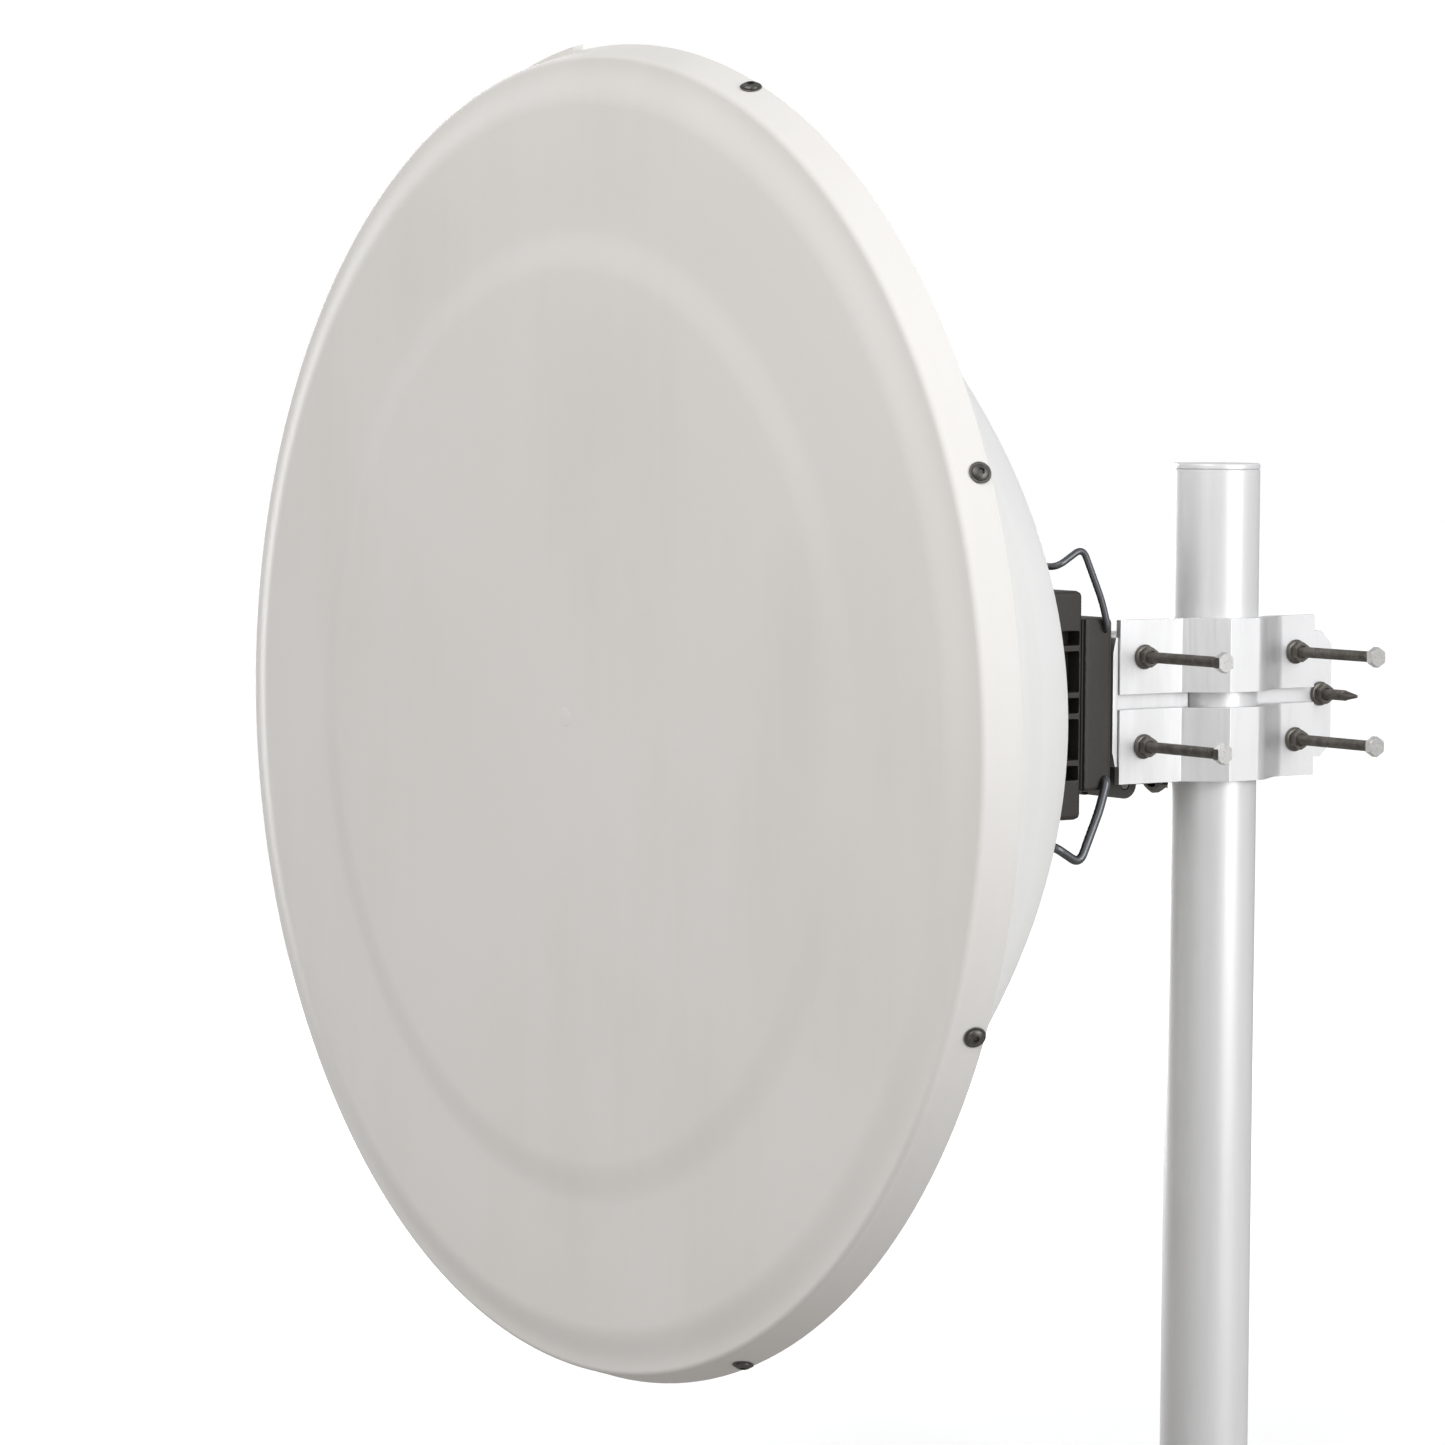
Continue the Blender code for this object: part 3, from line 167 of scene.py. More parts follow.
def make_grain_group():
    """Fine surface grain: a bump from two sizes of noise, and its mask."""
    tree, given, result = new_group(
        "fine_grain",
        {"Vector": ("NodeSocketVector", None), "Scale": ("NodeSocketFloat", 900.0),
         "Height": ("NodeSocketFloat", 0.00005), "Stretch": ("NodeSocketVector", (1.0, 1.0, 1.0))},
        {"Normal": "NodeSocketVector", "Mask": "NodeSocketFloat"})
    squeezed = add(tree, "ShaderNodeVectorMath", {0: given["Vector"], 1: given["Stretch"]},
                   operation="MULTIPLY")
    fine = add(tree, "ShaderNodeTexNoise", {"Vector": squeezed.outputs[0], "Scale": given["Scale"],
                                            "Detail": 3.0})
    third = add(tree, "ShaderNodeMath", {0: given["Scale"], 1: 0.3}, operation="MULTIPLY")
    broad = add(tree, "ShaderNodeTexNoise", {"Vector": squeezed.outputs[0], "Scale": third.outputs[0],
                                             "Detail": 2.0})
    both = add(tree, "ShaderNodeMath", {0: fine.outputs["Fac"], 1: broad.outputs["Fac"]}, operation="ADD")
    half = add(tree, "ShaderNodeMath", {0: both.outputs[0], 1: 0.5}, operation="MULTIPLY")
    bump = add(tree, "ShaderNodeBump", {"Height": half.outputs[0], "Distance": given["Height"],
                                        "Strength": 1.0})
    tree.links.new(bump.outputs[0], result["Normal"])
    tree.links.new(half.outputs[0], result["Mask"])
    return tree


def make_weather_group():
    """Outdoor dirt: vertical rain streaks broken up by broad patches."""
    tree, given, result = new_group(
        "weather",
        {"Vector": ("NodeSocketVector", None), "Scale": ("NodeSocketFloat", 20.0),
         "Amount": ("NodeSocketFloat", 0.5)},
        {"Mask": "NodeSocketFloat"})
    tall = add(tree, "ShaderNodeVectorMath", {0: given["Vector"], 1: (1.0, 1.0, 0.12)}, operation="MULTIPLY")
    streak = add(tree, "ShaderNodeTexNoise", {"Vector": tall.outputs[0], "Scale": given["Scale"],
                                              "Detail": 5.0, "Roughness": 0.65})
    patch = add(tree, "ShaderNodeTexNoise", {"Vector": given["Vector"], "Scale": 4.0, "Detail": 3.0})
    product = add(tree, "ShaderNodeMath", {0: streak.outputs["Fac"], 1: patch.outputs["Fac"]},
                  operation="MULTIPLY")
    spread = add(tree, "ShaderNodeMapRange", {"Value": product.outputs[0], "From Min": 0.18,
                                              "From Max": 0.42}, interpolation_type="SMOOTHSTEP")
    amount = add(tree, "ShaderNodeMath", {0: spread.outputs[0], 1: given["Amount"]}, operation="MULTIPLY")
    tree.links.new(amount.outputs[0], result["Mask"])
    return tree


fine_grain = make_grain_group()
weather = make_weather_group()


def grained(tree, place, scale, height, stretch=(1.0, 1.0, 1.0)):
    """The fine grain of one finish, at its own scale, height and stretch."""
    return place_group(tree, fine_grain, {"Vector": place, "Scale": scale, "Height": height,
                                          "Stretch": stretch})


def tint(tree, mask, first, second):
    """A colour between two, by a mask; the first can be another tint."""
    if not isinstance(first, bpy.types.NodeSocket):
        first = (*first, 1.0)
    mixed = add(tree, "ShaderNodeMix", {0: mask, 6: first, 7: (*second, 1.0)}, data_type="RGBA")
    return mixed.outputs[2]


def colour_by(tree, shader, mask, first, second):
    """Sets the base colour between two, by a mask."""
    tree.links.new(tint(tree, mask, first, second), shader["Base Color"])


def roughen(tree, shader, grain, smooth, rough, low=0.0, high=1.0):
    """Lets a grain set the roughness between two values, and the normal."""
    spread = add(tree, "ShaderNodeMapRange", {"Value": grain["Mask"], "From Min": low, "From Max": high,
                                              "To Min": smooth, "To Max": rough})
    tree.links.new(spread.outputs[0], shader["Roughness"])
    tree.links.new(grain["Normal"], shader["Normal"])


def make_mast_paint():
    """Smooth light grey paint on drawn pipe, with faint draw lines along it."""
    material, tree, shader, place = new_material("mast_paint", Metallic=0.25, Coat_Weight=0.35,
                                                 Coat_Roughness=0.22)
    grain = grained(tree, place, 420.0, 0.00004, (1.0, 1.0, 0.02))
    dirt = place_group(tree, weather, {"Vector": place, "Scale": 60.0, "Amount": 0.35})
    colour_by(tree, shader, dirt["Mask"], (0.80, 0.80, 0.805), (0.66, 0.66, 0.655))
    roughen(tree, shader, grain, 0.26, 0.44)
    return material


mast_paint = make_mast_paint()
pipe_low, pipe_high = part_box("mast_tube")
cap_low, cap_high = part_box("mast_cap")
foot_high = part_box("mast_foot")[1]
mast_radius = pipe_high.x
pipe_inner = mast_radius - 0.003
pipe_edge = 0.0008
pipe_profile = [(pipe_inner, pipe_low.z + pipe_edge), (pipe_inner + pipe_edge, pipe_low.z),
                (mast_radius - pipe_edge, pipe_low.z), (mast_radius, pipe_low.z + pipe_edge)]
for share in range(1, 8):
    pipe_profile.append((mast_radius, pipe_low.z + (pipe_high.z - pipe_low.z) * share / 8))
pipe_profile += [(mast_radius, pipe_high.z - pipe_edge), (mast_radius - pipe_edge, pipe_high.z),
                 (pipe_inner + pipe_edge, pipe_high.z), (pipe_inner, pipe_high.z - pipe_edge)]
pipe = turned("mast_pipe", ring_profile(pipe_profile), (0, 0, 0), (0, 0, 1), 96)
fit(pipe, mast_paint, "light_grey_paint", "mast", "mast_tube")

cap_edge = 0.0016
cap_seat = pipe_high.z + 0.0002
plug_radius = pipe_inner - 0.0003
cap_profile = [(0, cap_low.z), (plug_radius - 0.002, cap_low.z), (plug_radius, cap_low.z + 0.002),
               (plug_radius, cap_seat), (mast_radius - 0.0004, cap_seat), (mast_radius, cap_seat + 0.0004)]
cap_profile += arc((mast_radius - cap_edge, cap_high.z - cap_edge), cap_edge, 0, 90, 5)
cap_profile += [(mast_radius * 0.6, cap_high.z + 0.0002), (0, cap_high.z + 0.0004)]
cap = turned("mast_top_cap", cap_profile, (0, 0, 0), (0, 0, 1), 96)
fit(cap, mast_paint, "light_grey_paint", "mast", "mast_cap")

foot_edge = 0.0006
foot_seat = pipe_low.z - 0.0003
foot_profile = [(0, 0), (mast_radius - foot_edge, 0), (mast_radius, foot_edge), (mast_radius, foot_seat),
                (plug_radius, foot_seat), (plug_radius, foot_high.z - 0.002),
                (plug_radius - 0.002, foot_high.z), (0, foot_high.z)]
foot = turned("mast_foot_plug", foot_profile, (0, 0, 0), (0, 0, 1), 96)
fit(foot, mast_paint, "light_grey_paint", "mast", "mast_foot")


# ---------------------------------------------------------------- the clamp block and saddles
# The block and the two omega-shaped saddles are cut from bright extruded aluminium.  The die leaves fine
# lines along Z, and the edges are broken; the saw's lines across the ends are not drawn.
def face_out(piece):
    """Turns all of a piece's faces outward."""
    take(piece)
    bpy.ops.object.mode_set(mode="EDIT")
    bpy.ops.mesh.select_all(action="SELECT")
    bpy.ops.mesh.normals_make_consistent(inside=False)
    bpy.ops.object.mode_set(mode="OBJECT")


def shell(name, corners, faces):
    """A closed piece made from its corners and faces."""
    mesh = bpy.data.meshes.new(name)
    mesh.from_pydata(corners, [], faces)
    piece = bpy.data.objects.new(name, mesh)
    bpy.context.scene.collection.objects.link(piece)
    face_out(piece)
    return piece


def break_edges(piece, width, segments=2, angle=30):
    """Bevels the edges that turn by more than an angle."""
    edges = piece.modifiers.new("broken_edges", "BEVEL")
    edges.width = width
    edges.segments = segments
    edges.limit_method = "ANGLE"
    edges.angle_limit = math.radians(angle)
    bpy.ops.object.modifier_apply(modifier=edges.name)


def round_bends(shape, radius):
    """Rounds the two upright bends on the far side of an omega, where the die leaves a full radius."""
    least_length, nearest, farthest = 0.05, 0.012, 0.05
    folds = []
    for edge in shape.edges:
        first, last = (corner.co for corner in edge.verts)
        upright = (last - first).length > least_length and abs(last.z - first.z) > least_length
        if upright and nearest < (first.y + last.y) / 2 < farthest:
            folds.append(edge)
    bmesh.ops.bevel(shape, geom=folds, offset=radius, offset_type="OFFSET", segments=6, profile=0.5,
                    affect="EDGES")


def eased_copy(node, name, width, segments=2, angle=30, bend_radius=None):
    """A copy of a sawn or cast part, merged to whole faces, with its edges broken."""
    piece = bpy.data.objects.new(name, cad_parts[node].data.copy())
    bpy.context.scene.collection.objects.link(piece)
    take(piece)
    if piece.data.has_custom_normals:
        bpy.ops.mesh.customdata_custom_splitnormals_clear()
    bpy.ops.object.mode_set(mode="EDIT")
    bpy.ops.mesh.select_all(action="SELECT")
    bpy.ops.mesh.remove_doubles(threshold=0.00002)
    bpy.ops.mesh.dissolve_limited(angle_limit=math.radians(0.5))
    if bend_radius:
        round_bends(bmesh.from_edit_mesh(piece.data), bend_radius)
        bmesh.update_edit_mesh(piece.data)
    bpy.ops.object.mode_set(mode="OBJECT")
    break_edges(piece, width, segments, angle)
    return piece


def make_edge_group():
    """Rubbed edges: where a slightly rounded normal leaves the real one, broken up by noise."""
    tree, given, result = new_group(
        "rubbed_edge",
        {"Vector": ("NodeSocketVector", None), "Width": ("NodeSocketFloat", 0.0012),
         "Amount": ("NodeSocketFloat", 0.6)},
        {"Mask": "NodeSocketFloat"})
    rounded = add(tree, "ShaderNodeBevel", {"Radius": given["Width"]}, samples=4)
    flat = tree.nodes.new("ShaderNodeNewGeometry").outputs["Normal"]
    along = add(tree, "ShaderNodeVectorMath", {0: rounded.outputs[0], 1: flat}, operation="DOT_PRODUCT")
    edge = add(tree, "ShaderNodeMapRange", {"Value": along.outputs["Value"], "From Min": 0.995,
                                            "From Max": 0.90})
    noise = add(tree, "ShaderNodeTexNoise", {"Vector": given["Vector"], "Scale": 140.0, "Detail": 4.0})
    broken = add(tree, "ShaderNodeMapRange", {"Value": noise.outputs["Fac"], "From Min": 0.38,
                                              "From Max": 0.62})
    product = add(tree, "ShaderNodeMath", {0: edge.outputs[0], 1: broken.outputs[0]}, operation="MULTIPLY")
    amount = add(tree, "ShaderNodeMath", {0: product.outputs[0], 1: given["Amount"]}, operation="MULTIPLY")
    tree.links.new(amount.outputs[0], result["Mask"])
    return tree


rubbed_edge = make_edge_group()


def make_extruded_aluminium():
    """Bright extruded aluminium: die lines along Z, rubbed edges and a little dirt."""
    material, tree, shader, place = new_material("extruded_aluminium", Metallic=0.88)
    lines = grained(tree, place, 1400.0, 0.00003, (1.0, 1.0, 0.03))
    worn = place_group(tree, rubbed_edge, {"Vector": place, "Width": 0.0010, "Amount": 0.8})
    dirt = place_group(tree, weather, {"Vector": place, "Scale": 45.0, "Amount": 0.5})
    dull = tint(tree, dirt["Mask"], (0.80, 0.80, 0.805), (0.64, 0.64, 0.63))
    colour_by(tree, shader, worn["Mask"], dull, (0.95, 0.95, 0.95))
    roughen(tree, shader, lines, 0.42, 0.58, low=0.3, high=0.7)
    return material


extruded_aluminium = make_extruded_aluminium()
block = eased_copy("clamp_block", "clamp_extrusion", 0.0007)
fit(block, extruded_aluminium, "bright_aluminium", "clamp", "clamp_block", angle=32, flat_faces=True)
block_low, block_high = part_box("clamp_block")
block_z = (block_low.z + block_high.z) / 2
lip_rear, lip_front = block_low.y + 0.0032, block_low.y - 0.0015
lip_left, lip_right = block_high.x - 0.0069, block_high.x + 0.0062
lip_half, lip_flat, lip_fall = 0.0468, 0.0360, 0.0026      # half heights of the lip and its flat, end slope
lip_outline = [(lip_rear, -lip_half), (lip_front + lip_fall, -lip_half), (lip_front, -lip_flat),
               (lip_front, lip_flat), (lip_front + lip_fall, lip_half), (lip_rear, lip_half)]
lip_count = len(lip_outline)
lip_ends = [tuple(range(lip_count)), tuple(reversed(range(lip_count, 2 * lip_count)))]
lip_sides = [(i, i + lip_count, (i + 1) % lip_count + lip_count, (i + 1) % lip_count)
             for i in range(lip_count)]
lip = shell("end_lip", [(x, y, block_z + up) for x in (lip_left, lip_right) for y, up in lip_outline],
            lip_ends + lip_sides)
break_edges(lip, 0.0005)
fit(lip, extruded_aluminium, "bright_aluminium", "clamp", angle=32, flat_faces=True)
for row in ("upper", "lower"):
    saddle = eased_copy(f"saddle_{row}", f"omega_saddle_{row}", 0.0006, bend_radius=0.0060)
    fit(saddle, extruded_aluminium, "bright_aluminium", f"{row}_saddle", f"saddle_{row}", angle=32,
        flat_faces=True)


# ---------------------------------------------------------------- bolts, nuts and the earthing stud
# Stainless hexagon bolts with rolled threads, their shanks given the darker plated finish, and flanged nuts
# whose dark finish is painted shade for the shadow they sit in.
# A hexagon is a six-sided prism cut by a turned chamfer; a thread is one groove swept round.
def make_stainless():
    """Bright stainless steel with fine turning marks."""
    material, tree, shader, place = new_material("stainless", Metallic=1.0)
    grain = grained(tree, place, 2600.0, 0.00002)
    colour_by(tree, shader, grain["Mask"], (0.72, 0.71, 0.69), (0.86, 0.855, 0.84))
    roughen(tree, shader, grain, 0.18, 0.42)
    return material


def make_dark_plating_and_painted_shade():
    """Dark zinc plating with grease in the grooves and bare metal on the rubbed edges; on the clamp's flanged
    nuts its darkness is painted shade for the shadow they sit in.
    """
    material, tree, shader, place = new_material("dark_plating_and_painted_shade", Metallic=0.85)
    grain = grained(tree, place, 1800.0, 0.00003)
    worn = place_group(tree, rubbed_edge, {"Vector": place, "Width": 0.0005, "Amount": 0.7})
    dark = tint(tree, grain["Mask"], (0.085, 0.078, 0.068), (0.20, 0.185, 0.165))
    colour_by(tree, shader, worn["Mask"], dark, (0.50, 0.49, 0.46))
    roughen(tree, shader, grain, 0.30, 0.55)
    return material


stainless = make_stainless()
dark_plating_and_painted_shade = make_dark_plating_and_painted_shade()


def cut(piece, tool, operation="DIFFERENCE"):
    """Cuts a piece by a tool, which is then thrown away."""
    take(piece)
    step = piece.modifiers.new("cut", "BOOLEAN")
    step.operation = operation
    step.object = tool
    bpy.ops.object.modifier_apply(modifier=step.name)
    bpy.data.objects.remove(tool)


def hexagon(name, centre, axis, radius, height, both_ends=False):
    """A hexagon head or nut body from centre along the axis, its far corners chamfered round."""
    axis = Vector(axis)
    clear_selection()
    middle = Vector(centre) + axis * height / 2
    bpy.ops.mesh.primitive_cylinder_add(vertices=6, radius=radius, depth=height, location=middle,
                                        rotation=axis.to_track_quat("Z", "Y").to_euler())
    body = bpy.context.object
    body.name = name
    flat = radius * math.cos(math.radians(30))
    reach = radius * 1.02
    spare = 0.0001
    fall = (reach - flat) * 0.58
    low = [(flat, -spare), (reach, fall)] if both_ends else [(reach, -spare)]
    profile = [(0, -spare), *low, (reach, height - fall), (flat, height + spare), (0, height + spare)]
    cut(body, turned(name + "_chamfer", profile, centre, axis, 48), "INTERSECT")
    return body


def thread(name, start, axis, length, radius, pitch, steps=18):
    """A rolled thread: one V groove swept round and along, with its ends closed."""
    axis = Vector(axis)
    depth = pitch * 0.54
    turns = max(1, round(length / pitch))
    clear_selection()
    bpy.ops.mesh.primitive_plane_add(size=0.001)
    piece = bpy.context.object
    piece.name = name
    bpy.ops.object.mode_set(mode="EDIT")
    bpy.ops.mesh.merge(type="CENTER")
    bpy.ops.transform.translate(value=(radius - depth, 0, 0))
    groove = ((0, pitch * 0.12), (depth, pitch * 0.36), (0, pitch * 0.14), (-depth, pitch * 0.38))
    for across, along in groove:
        bpy.ops.mesh.extrude_region_move(TRANSFORM_OT_translate={"value": (across, 0, along)})
    bpy.ops.object.mode_set(mode="OBJECT")
    sweep = piece.modifiers.new("sweep", "SCREW")
    sweep.screw_offset = pitch
    sweep.iterations = turns
    sweep.steps = steps
    sweep.render_steps = steps
    sweep.use_merge_vertices = False
    bpy.ops.object.modifier_apply(modifier=sweep.name)
    bpy.ops.object.mode_set(mode="EDIT")
    bpy.ops.mesh.select_all(action="SELECT")
    bpy.ops.mesh.remove_doubles(threshold=0.000005)
    bpy.ops.mesh.fill_holes(sides=0)
    bpy.ops.mesh.select_all(action="SELECT")
    bpy.ops.mesh.normals_make_consistent(inside=False)
    bpy.ops.object.mode_set(mode="OBJECT")
    piece.matrix_world = Matrix.Translation(start) @ axis.to_track_quat("Z", "Y").to_matrix().to_4x4()
    return piece


def joined(name, pieces):
    """Several finished shells as one object."""
    clear_selection()
    for piece in pieces:
        piece.select_set(True)
    bpy.context.view_layer.objects.active = pieces[0]
    bpy.ops.object.join()
    bpy.ops.object.transform_apply(location=True, rotation=True, scale=True)
    pieces[0].name = name
    return pieces[0]


def paint_by_place(piece, finish, test):
    """Gives a second material to the faces whose centres pass a test."""
    piece.data.materials.append(finish)
    for face in piece.data.polygons:
        if test(face.center):
            face.material_index = len(piece.data.materials) - 1


def moved_copy(piece, name, offset):
    """A copy with its own mesh, moved by an offset."""
    clear_selection()
    copy = bpy.data.objects.new(name, piece.data.copy())
    bpy.context.scene.collection.objects.link(copy)
    copy.location = offset
    return copy


bolt_radius = 0.004
bolt_corner = 0.0075
bolt_pitch = 0.00125
bolt_low, bolt_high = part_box("clamp_bolt_1")
bolt_middle = (bolt_low + bolt_high) / 2
head_height = 0.0055
head_under = bolt_high.x - head_height
head_seat = (head_under, bolt_middle.y, bolt_middle.z)
sideways = (1, 0, 0)
bolt_head = hexagon("bolt_head", head_seat, sideways, bolt_corner, head_height)
washer_profile = [(0, 0.0006), (bolt_corner * 0.82, 0.0006), (bolt_corner * 0.84, 0.0002),
                  (bolt_corner * 0.84, -0.0004), (0, -0.0004)]
bolt_washer = turned("bolt_washer_face", washer_profile, head_seat, sideways, 40)
neck_profile = [(0, 0.001), (bolt_radius, 0.001), (bolt_radius, -0.004), (bolt_radius - 0.0006, -0.0048),
                (0, -0.0048)]
bolt_neck = turned("bolt_neck", neck_profile, head_seat, sideways, 32)
bolt_thread = thread("bolt_thread", (bolt_low.x, bolt_middle.y, bolt_middle.z), sideways,
                     head_under - bolt_low.x - 0.005, bolt_radius, bolt_pitch)
first_bolt = joined("bolt_pattern", [bolt_head, bolt_washer, bolt_neck, bolt_thread])
for number in range(1, 5):
    low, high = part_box(f"clamp_bolt_{number}")
    bolt = moved_copy(first_bolt, f"long_bolt_{number}", (low + high) / 2 - bolt_middle)
    fit(bolt, stainless, "bright_steel", "clamp", f"clamp_bolt_{number}", angle=28)
    # The shank below the head is given the darker plated finish.
    paint_by_place(bolt, dark_plating_and_painted_shade, lambda centre: centre.x < head_under - 0.0006)
bpy.data.objects.remove(first_bolt)


def flange_nut(name, node, hex_radius, flange_thick):
    """A flanged nut: a domed flange with a bored hexagon standing on it."""
    low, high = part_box(node)
    middle = (low + high) / 2
    seat = (low.x, middle.y, middle.z)
    flange = (high.z - low.z) / 2
    bore = bolt_radius + 0.00025
    flange_top = flange_thick + 0.0006
    tall = high.x - low.x
    skirt = turned(name + "_flange", ring_profile(
        [(bore, 0.0), (flange - 0.0004, 0.0), (flange, 0.0004), (flange, flange_thick * 0.6),
         (flange - 0.0006, flange_thick), (hex_radius * 0.9, flange_top), (bore, flange_top)]),
        seat, sideways, 48)
    body = hexagon(name + "_body", (low.x + flange_thick * 0.7, middle.y, middle.z), sideways, hex_radius,
                   tall - flange_thick * 0.7)
    drill = [(0, -0.003), (bore, -0.003), (bore, tall - 0.0006), (bore + 0.0008, tall + 0.0004),
             (0, tall + 0.0004)]
    cut(body, turned(name + "_drill", drill, seat, sideways, 32))
    return joined(name, [body, skirt])


# The four clamp nuts take the dark finish as painted shade: their darkness stands for the shadow they sit in.
for number in range(1, 5):
    nut = flange_nut(f"flanged_nut_{number}", f"clamp_nut_{number}", bolt_corner, 0.0016)
    saddle_body = "upper_saddle" if number < 3 else "lower_saddle"
    fit(nut, dark_plating_and_painted_shade, "dark_steel", saddle_body, f"clamp_nut_{number}", angle=28)

stud_low, stud_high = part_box("earth_stud")
stud_middle = (stud_low + stud_high) / 2
stud_tip = 0.014
stud_thread = thread("stud_thread", (stud_low.x, stud_middle.y, stud_middle.z), sideways,
                     stud_high.x - stud_low.x - stud_tip, bolt_radius, bolt_pitch)
cone_profile = [(0, -0.002), (bolt_radius - 0.0007, -0.002), (bolt_radius - 0.0003, 0.0),
                (bolt_radius - 0.0006, 0.002), (0.0012, stud_tip - 0.001), (0.0006, stud_tip - 0.0002),
                (0, stud_tip)]
cone_start = (stud_high.x - stud_tip, stud_middle.y, stud_middle.z)
stud_cone = turned("stud_cone", cone_profile, cone_start, sideways, 32)
stud = joined("earthing_stud", [stud_thread, stud_cone])
fit(stud, dark_plating_and_painted_shade, "dark_steel", "clamp", "earth_stud", angle=28)
stud_nut = flange_nut("earthing_nut", "earth_nut", bolt_corner, 0.002)
fit(stud_nut, dark_plating_and_painted_shade, "dark_steel", "clamp", "earth_nut", angle=28)


# ---------------------------------------------------------------- the elevation rod and its anchor
# An M12 rod with an eye at the lever and a hexagon sleeve, run through a cross barrel that two
# nuts lock.  The anchor that holds the barrel is die-cast, like the bracket and the housing.
def make_dark_casting():
    """Olive-grey powder coat on a die casting: a fine pebbled skin, dust, and rubbed edges."""
    material, tree, shader, place = new_material("dark_casting")
    skin = grained(tree, place, 1100.0, 0.00012)
    worn = place_group(tree, rubbed_edge, {"Vector": place, "Width": 0.0010, "Amount": 0.55})
    dirt = place_group(tree, weather, {"Vector": place, "Scale": 55.0, "Amount": 0.5})
    dark = tint(tree, dirt["Mask"], (0.025, 0.022, 0.018), (0.051, 0.047, 0.039))
    colour_by(tree, shader, worn["Mask"], dark, (0.20, 0.19, 0.165))
    roughen(tree, shader, skin, 0.42, 0.68)
    return material


dark_casting = make_dark_casting()
rod_low, rod_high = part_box("elevation_rod")
rod_middle = (rod_low + rod_high) / 2
rod_radius = 0.006
eye_radius = 0.011
eye_y = rod_low.y + eye_radius
eye_half = (rod_high.x - rod_low.x) / 2
eye_hole = bolt_radius + 0.0003
eye_profile = [(eye_hole, -eye_half + 0.0005), (eye_hole + 0.0005, -eye_half),
               (eye_radius - 0.001, -eye_half), (eye_radius, -eye_half + 0.001),
               (eye_radius, eye_half - 0.001), (eye_radius - 0.001, eye_half),
               (eye_hole + 0.0005, eye_half), (eye_hole, eye_half - 0.0005)]
eye = turned("rod_eye", ring_profile(eye_profile), (rod_middle.x, eye_y, rod_middle.z), sideways, 48)
sleeve_start = eye_y + 0.017
sleeve_length = 0.028
rod_pitch = 0.00175
rearward = (0, 1, 0)
sleeve = hexagon("rod_sleeve", (rod_middle.x, sleeve_start, rod_middle.z), rearward, 0.009,
                 sleeve_length, True)
neck = turned("rod_neck", [(0, 0), (rod_radius, 0), (rod_radius, 0.010), (0, 0.010)],
              (rod_middle.x, eye_y + eye_radius - 0.003, rod_middle.z), rearward, 32)
thread_start = (rod_middle.x, sleeve_start + sleeve_length - 0.002, rod_middle.z)
rod_thread = thread("rod_thread", thread_start, rearward,
                    rod_high.y - sleeve_start - sleeve_length - 0.0005, rod_radius, rod_pitch)
rod = joined("tilt_rod", [eye, sleeve, neck, rod_thread])
fit(rod, dark_plating_and_painted_shade, "dark_steel", "rod", "elevation_rod", angle=28)

anchor = eased_copy("rod_anchor", "anchor_casting", 0.0006)
fit(anchor, dark_casting, "dark_cast_metal", "clamp", "rod_anchor", flat_faces=True)
barrel = eased_copy("anchor_barrel", "cross_barrel", 0.0004)
fit(barrel, dark_plating_and_painted_shade, "bright_steel", "clamp", "anchor_barrel")
rod_clearance = 0.0026                   # lets the rod rise and fall as the dish tilts
for node, name in (("rod_nut_front", "front_rod_nut"), ("rod_nut_rear", "rear_rod_nut")):
    low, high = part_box(node)
    middle = (low + high) / 2
    start = (middle.x, low.y, middle.z)
    nut = hexagon(name, start, rearward, (high.z - low.z) / 2, high.y - low.y, True)
    bore = rod_radius + rod_clearance
    drill = [(0, -0.001), (bore, -0.001), (bore, 0.012), (0, 0.012)]
    cut(nut, turned(name + "_drill", drill, start, rearward, 40))
    fit(nut, dark_plating_and_painted_shade, "bright_steel", "clamp", node, angle=28)


# ---------------------------------------------------------------- the tilt bracket
# A die-cast fork: a cross plate on the radio's cover and two cheeks that swing on the clamp's
# nose, with a lever below for the rod.  Four small bolts, the tilt pin and the lever pin hold it.
bracket = eased_copy("tilt_bracket", "fork_casting", 0.0007)
fit(bracket, dark_casting, "dark_cast_metal", "dish", "tilt_bracket", flat_faces=True)


def small_bolt(name, node, axis, hex_radius, head, shaft_radius, pitch, threaded=True):
    """A hexagon bolt that fills a node's box, its head at the end that the axis points away from."""
    low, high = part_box(node)
    middle = (low + high) / 2
    axis = Vector(axis)
    span = abs((high - low).dot(axis))
    top = middle - axis * span / 2
    under = top + axis * head
    cap = hexagon(name + "_head", under, -axis, hex_radius, head)
    length = span - head
    if threaded:
        shaft = thread(name + "_shaft", under - axis * 0.001, axis, length, shaft_radius, pitch, 14)
    else:
        shaft = turned(name + "_shaft", [(0, -0.001), (shaft_radius, -0.001), (shaft_radius, length - 0.0008),
                                         (shaft_radius - 0.0008, length), (0, length)], under, axis, 32)
    return joined(name, [cap, shaft])


for number in range(1, 5):
    bolt = small_bolt(f"cross_bolt_{number}", f"bracket_bolt_{number}", (0, -1, 0), 0.006, 0.004, 0.003,
                      0.001)
    fit(bolt, stainless, "bright_steel", "dish", f"bracket_bolt_{number}", angle=28)
pin = small_bolt("tilt_axle", "tilt_pin", (1, 0, 0), 0.010, 0.007, 0.006, 0.00175, False)
fit(pin, dark_plating_and_painted_shade, "bright_steel", "dish", "tilt_pin", angle=28)
pin = small_bolt("lever_axle", "lever_pin", (1, 0, 0), 0.0075, 0.0055, 0.004, 0.00125, False)
fit(pin, dark_plating_and_painted_shade, "bright_steel", "dish", "lever_pin", angle=28)


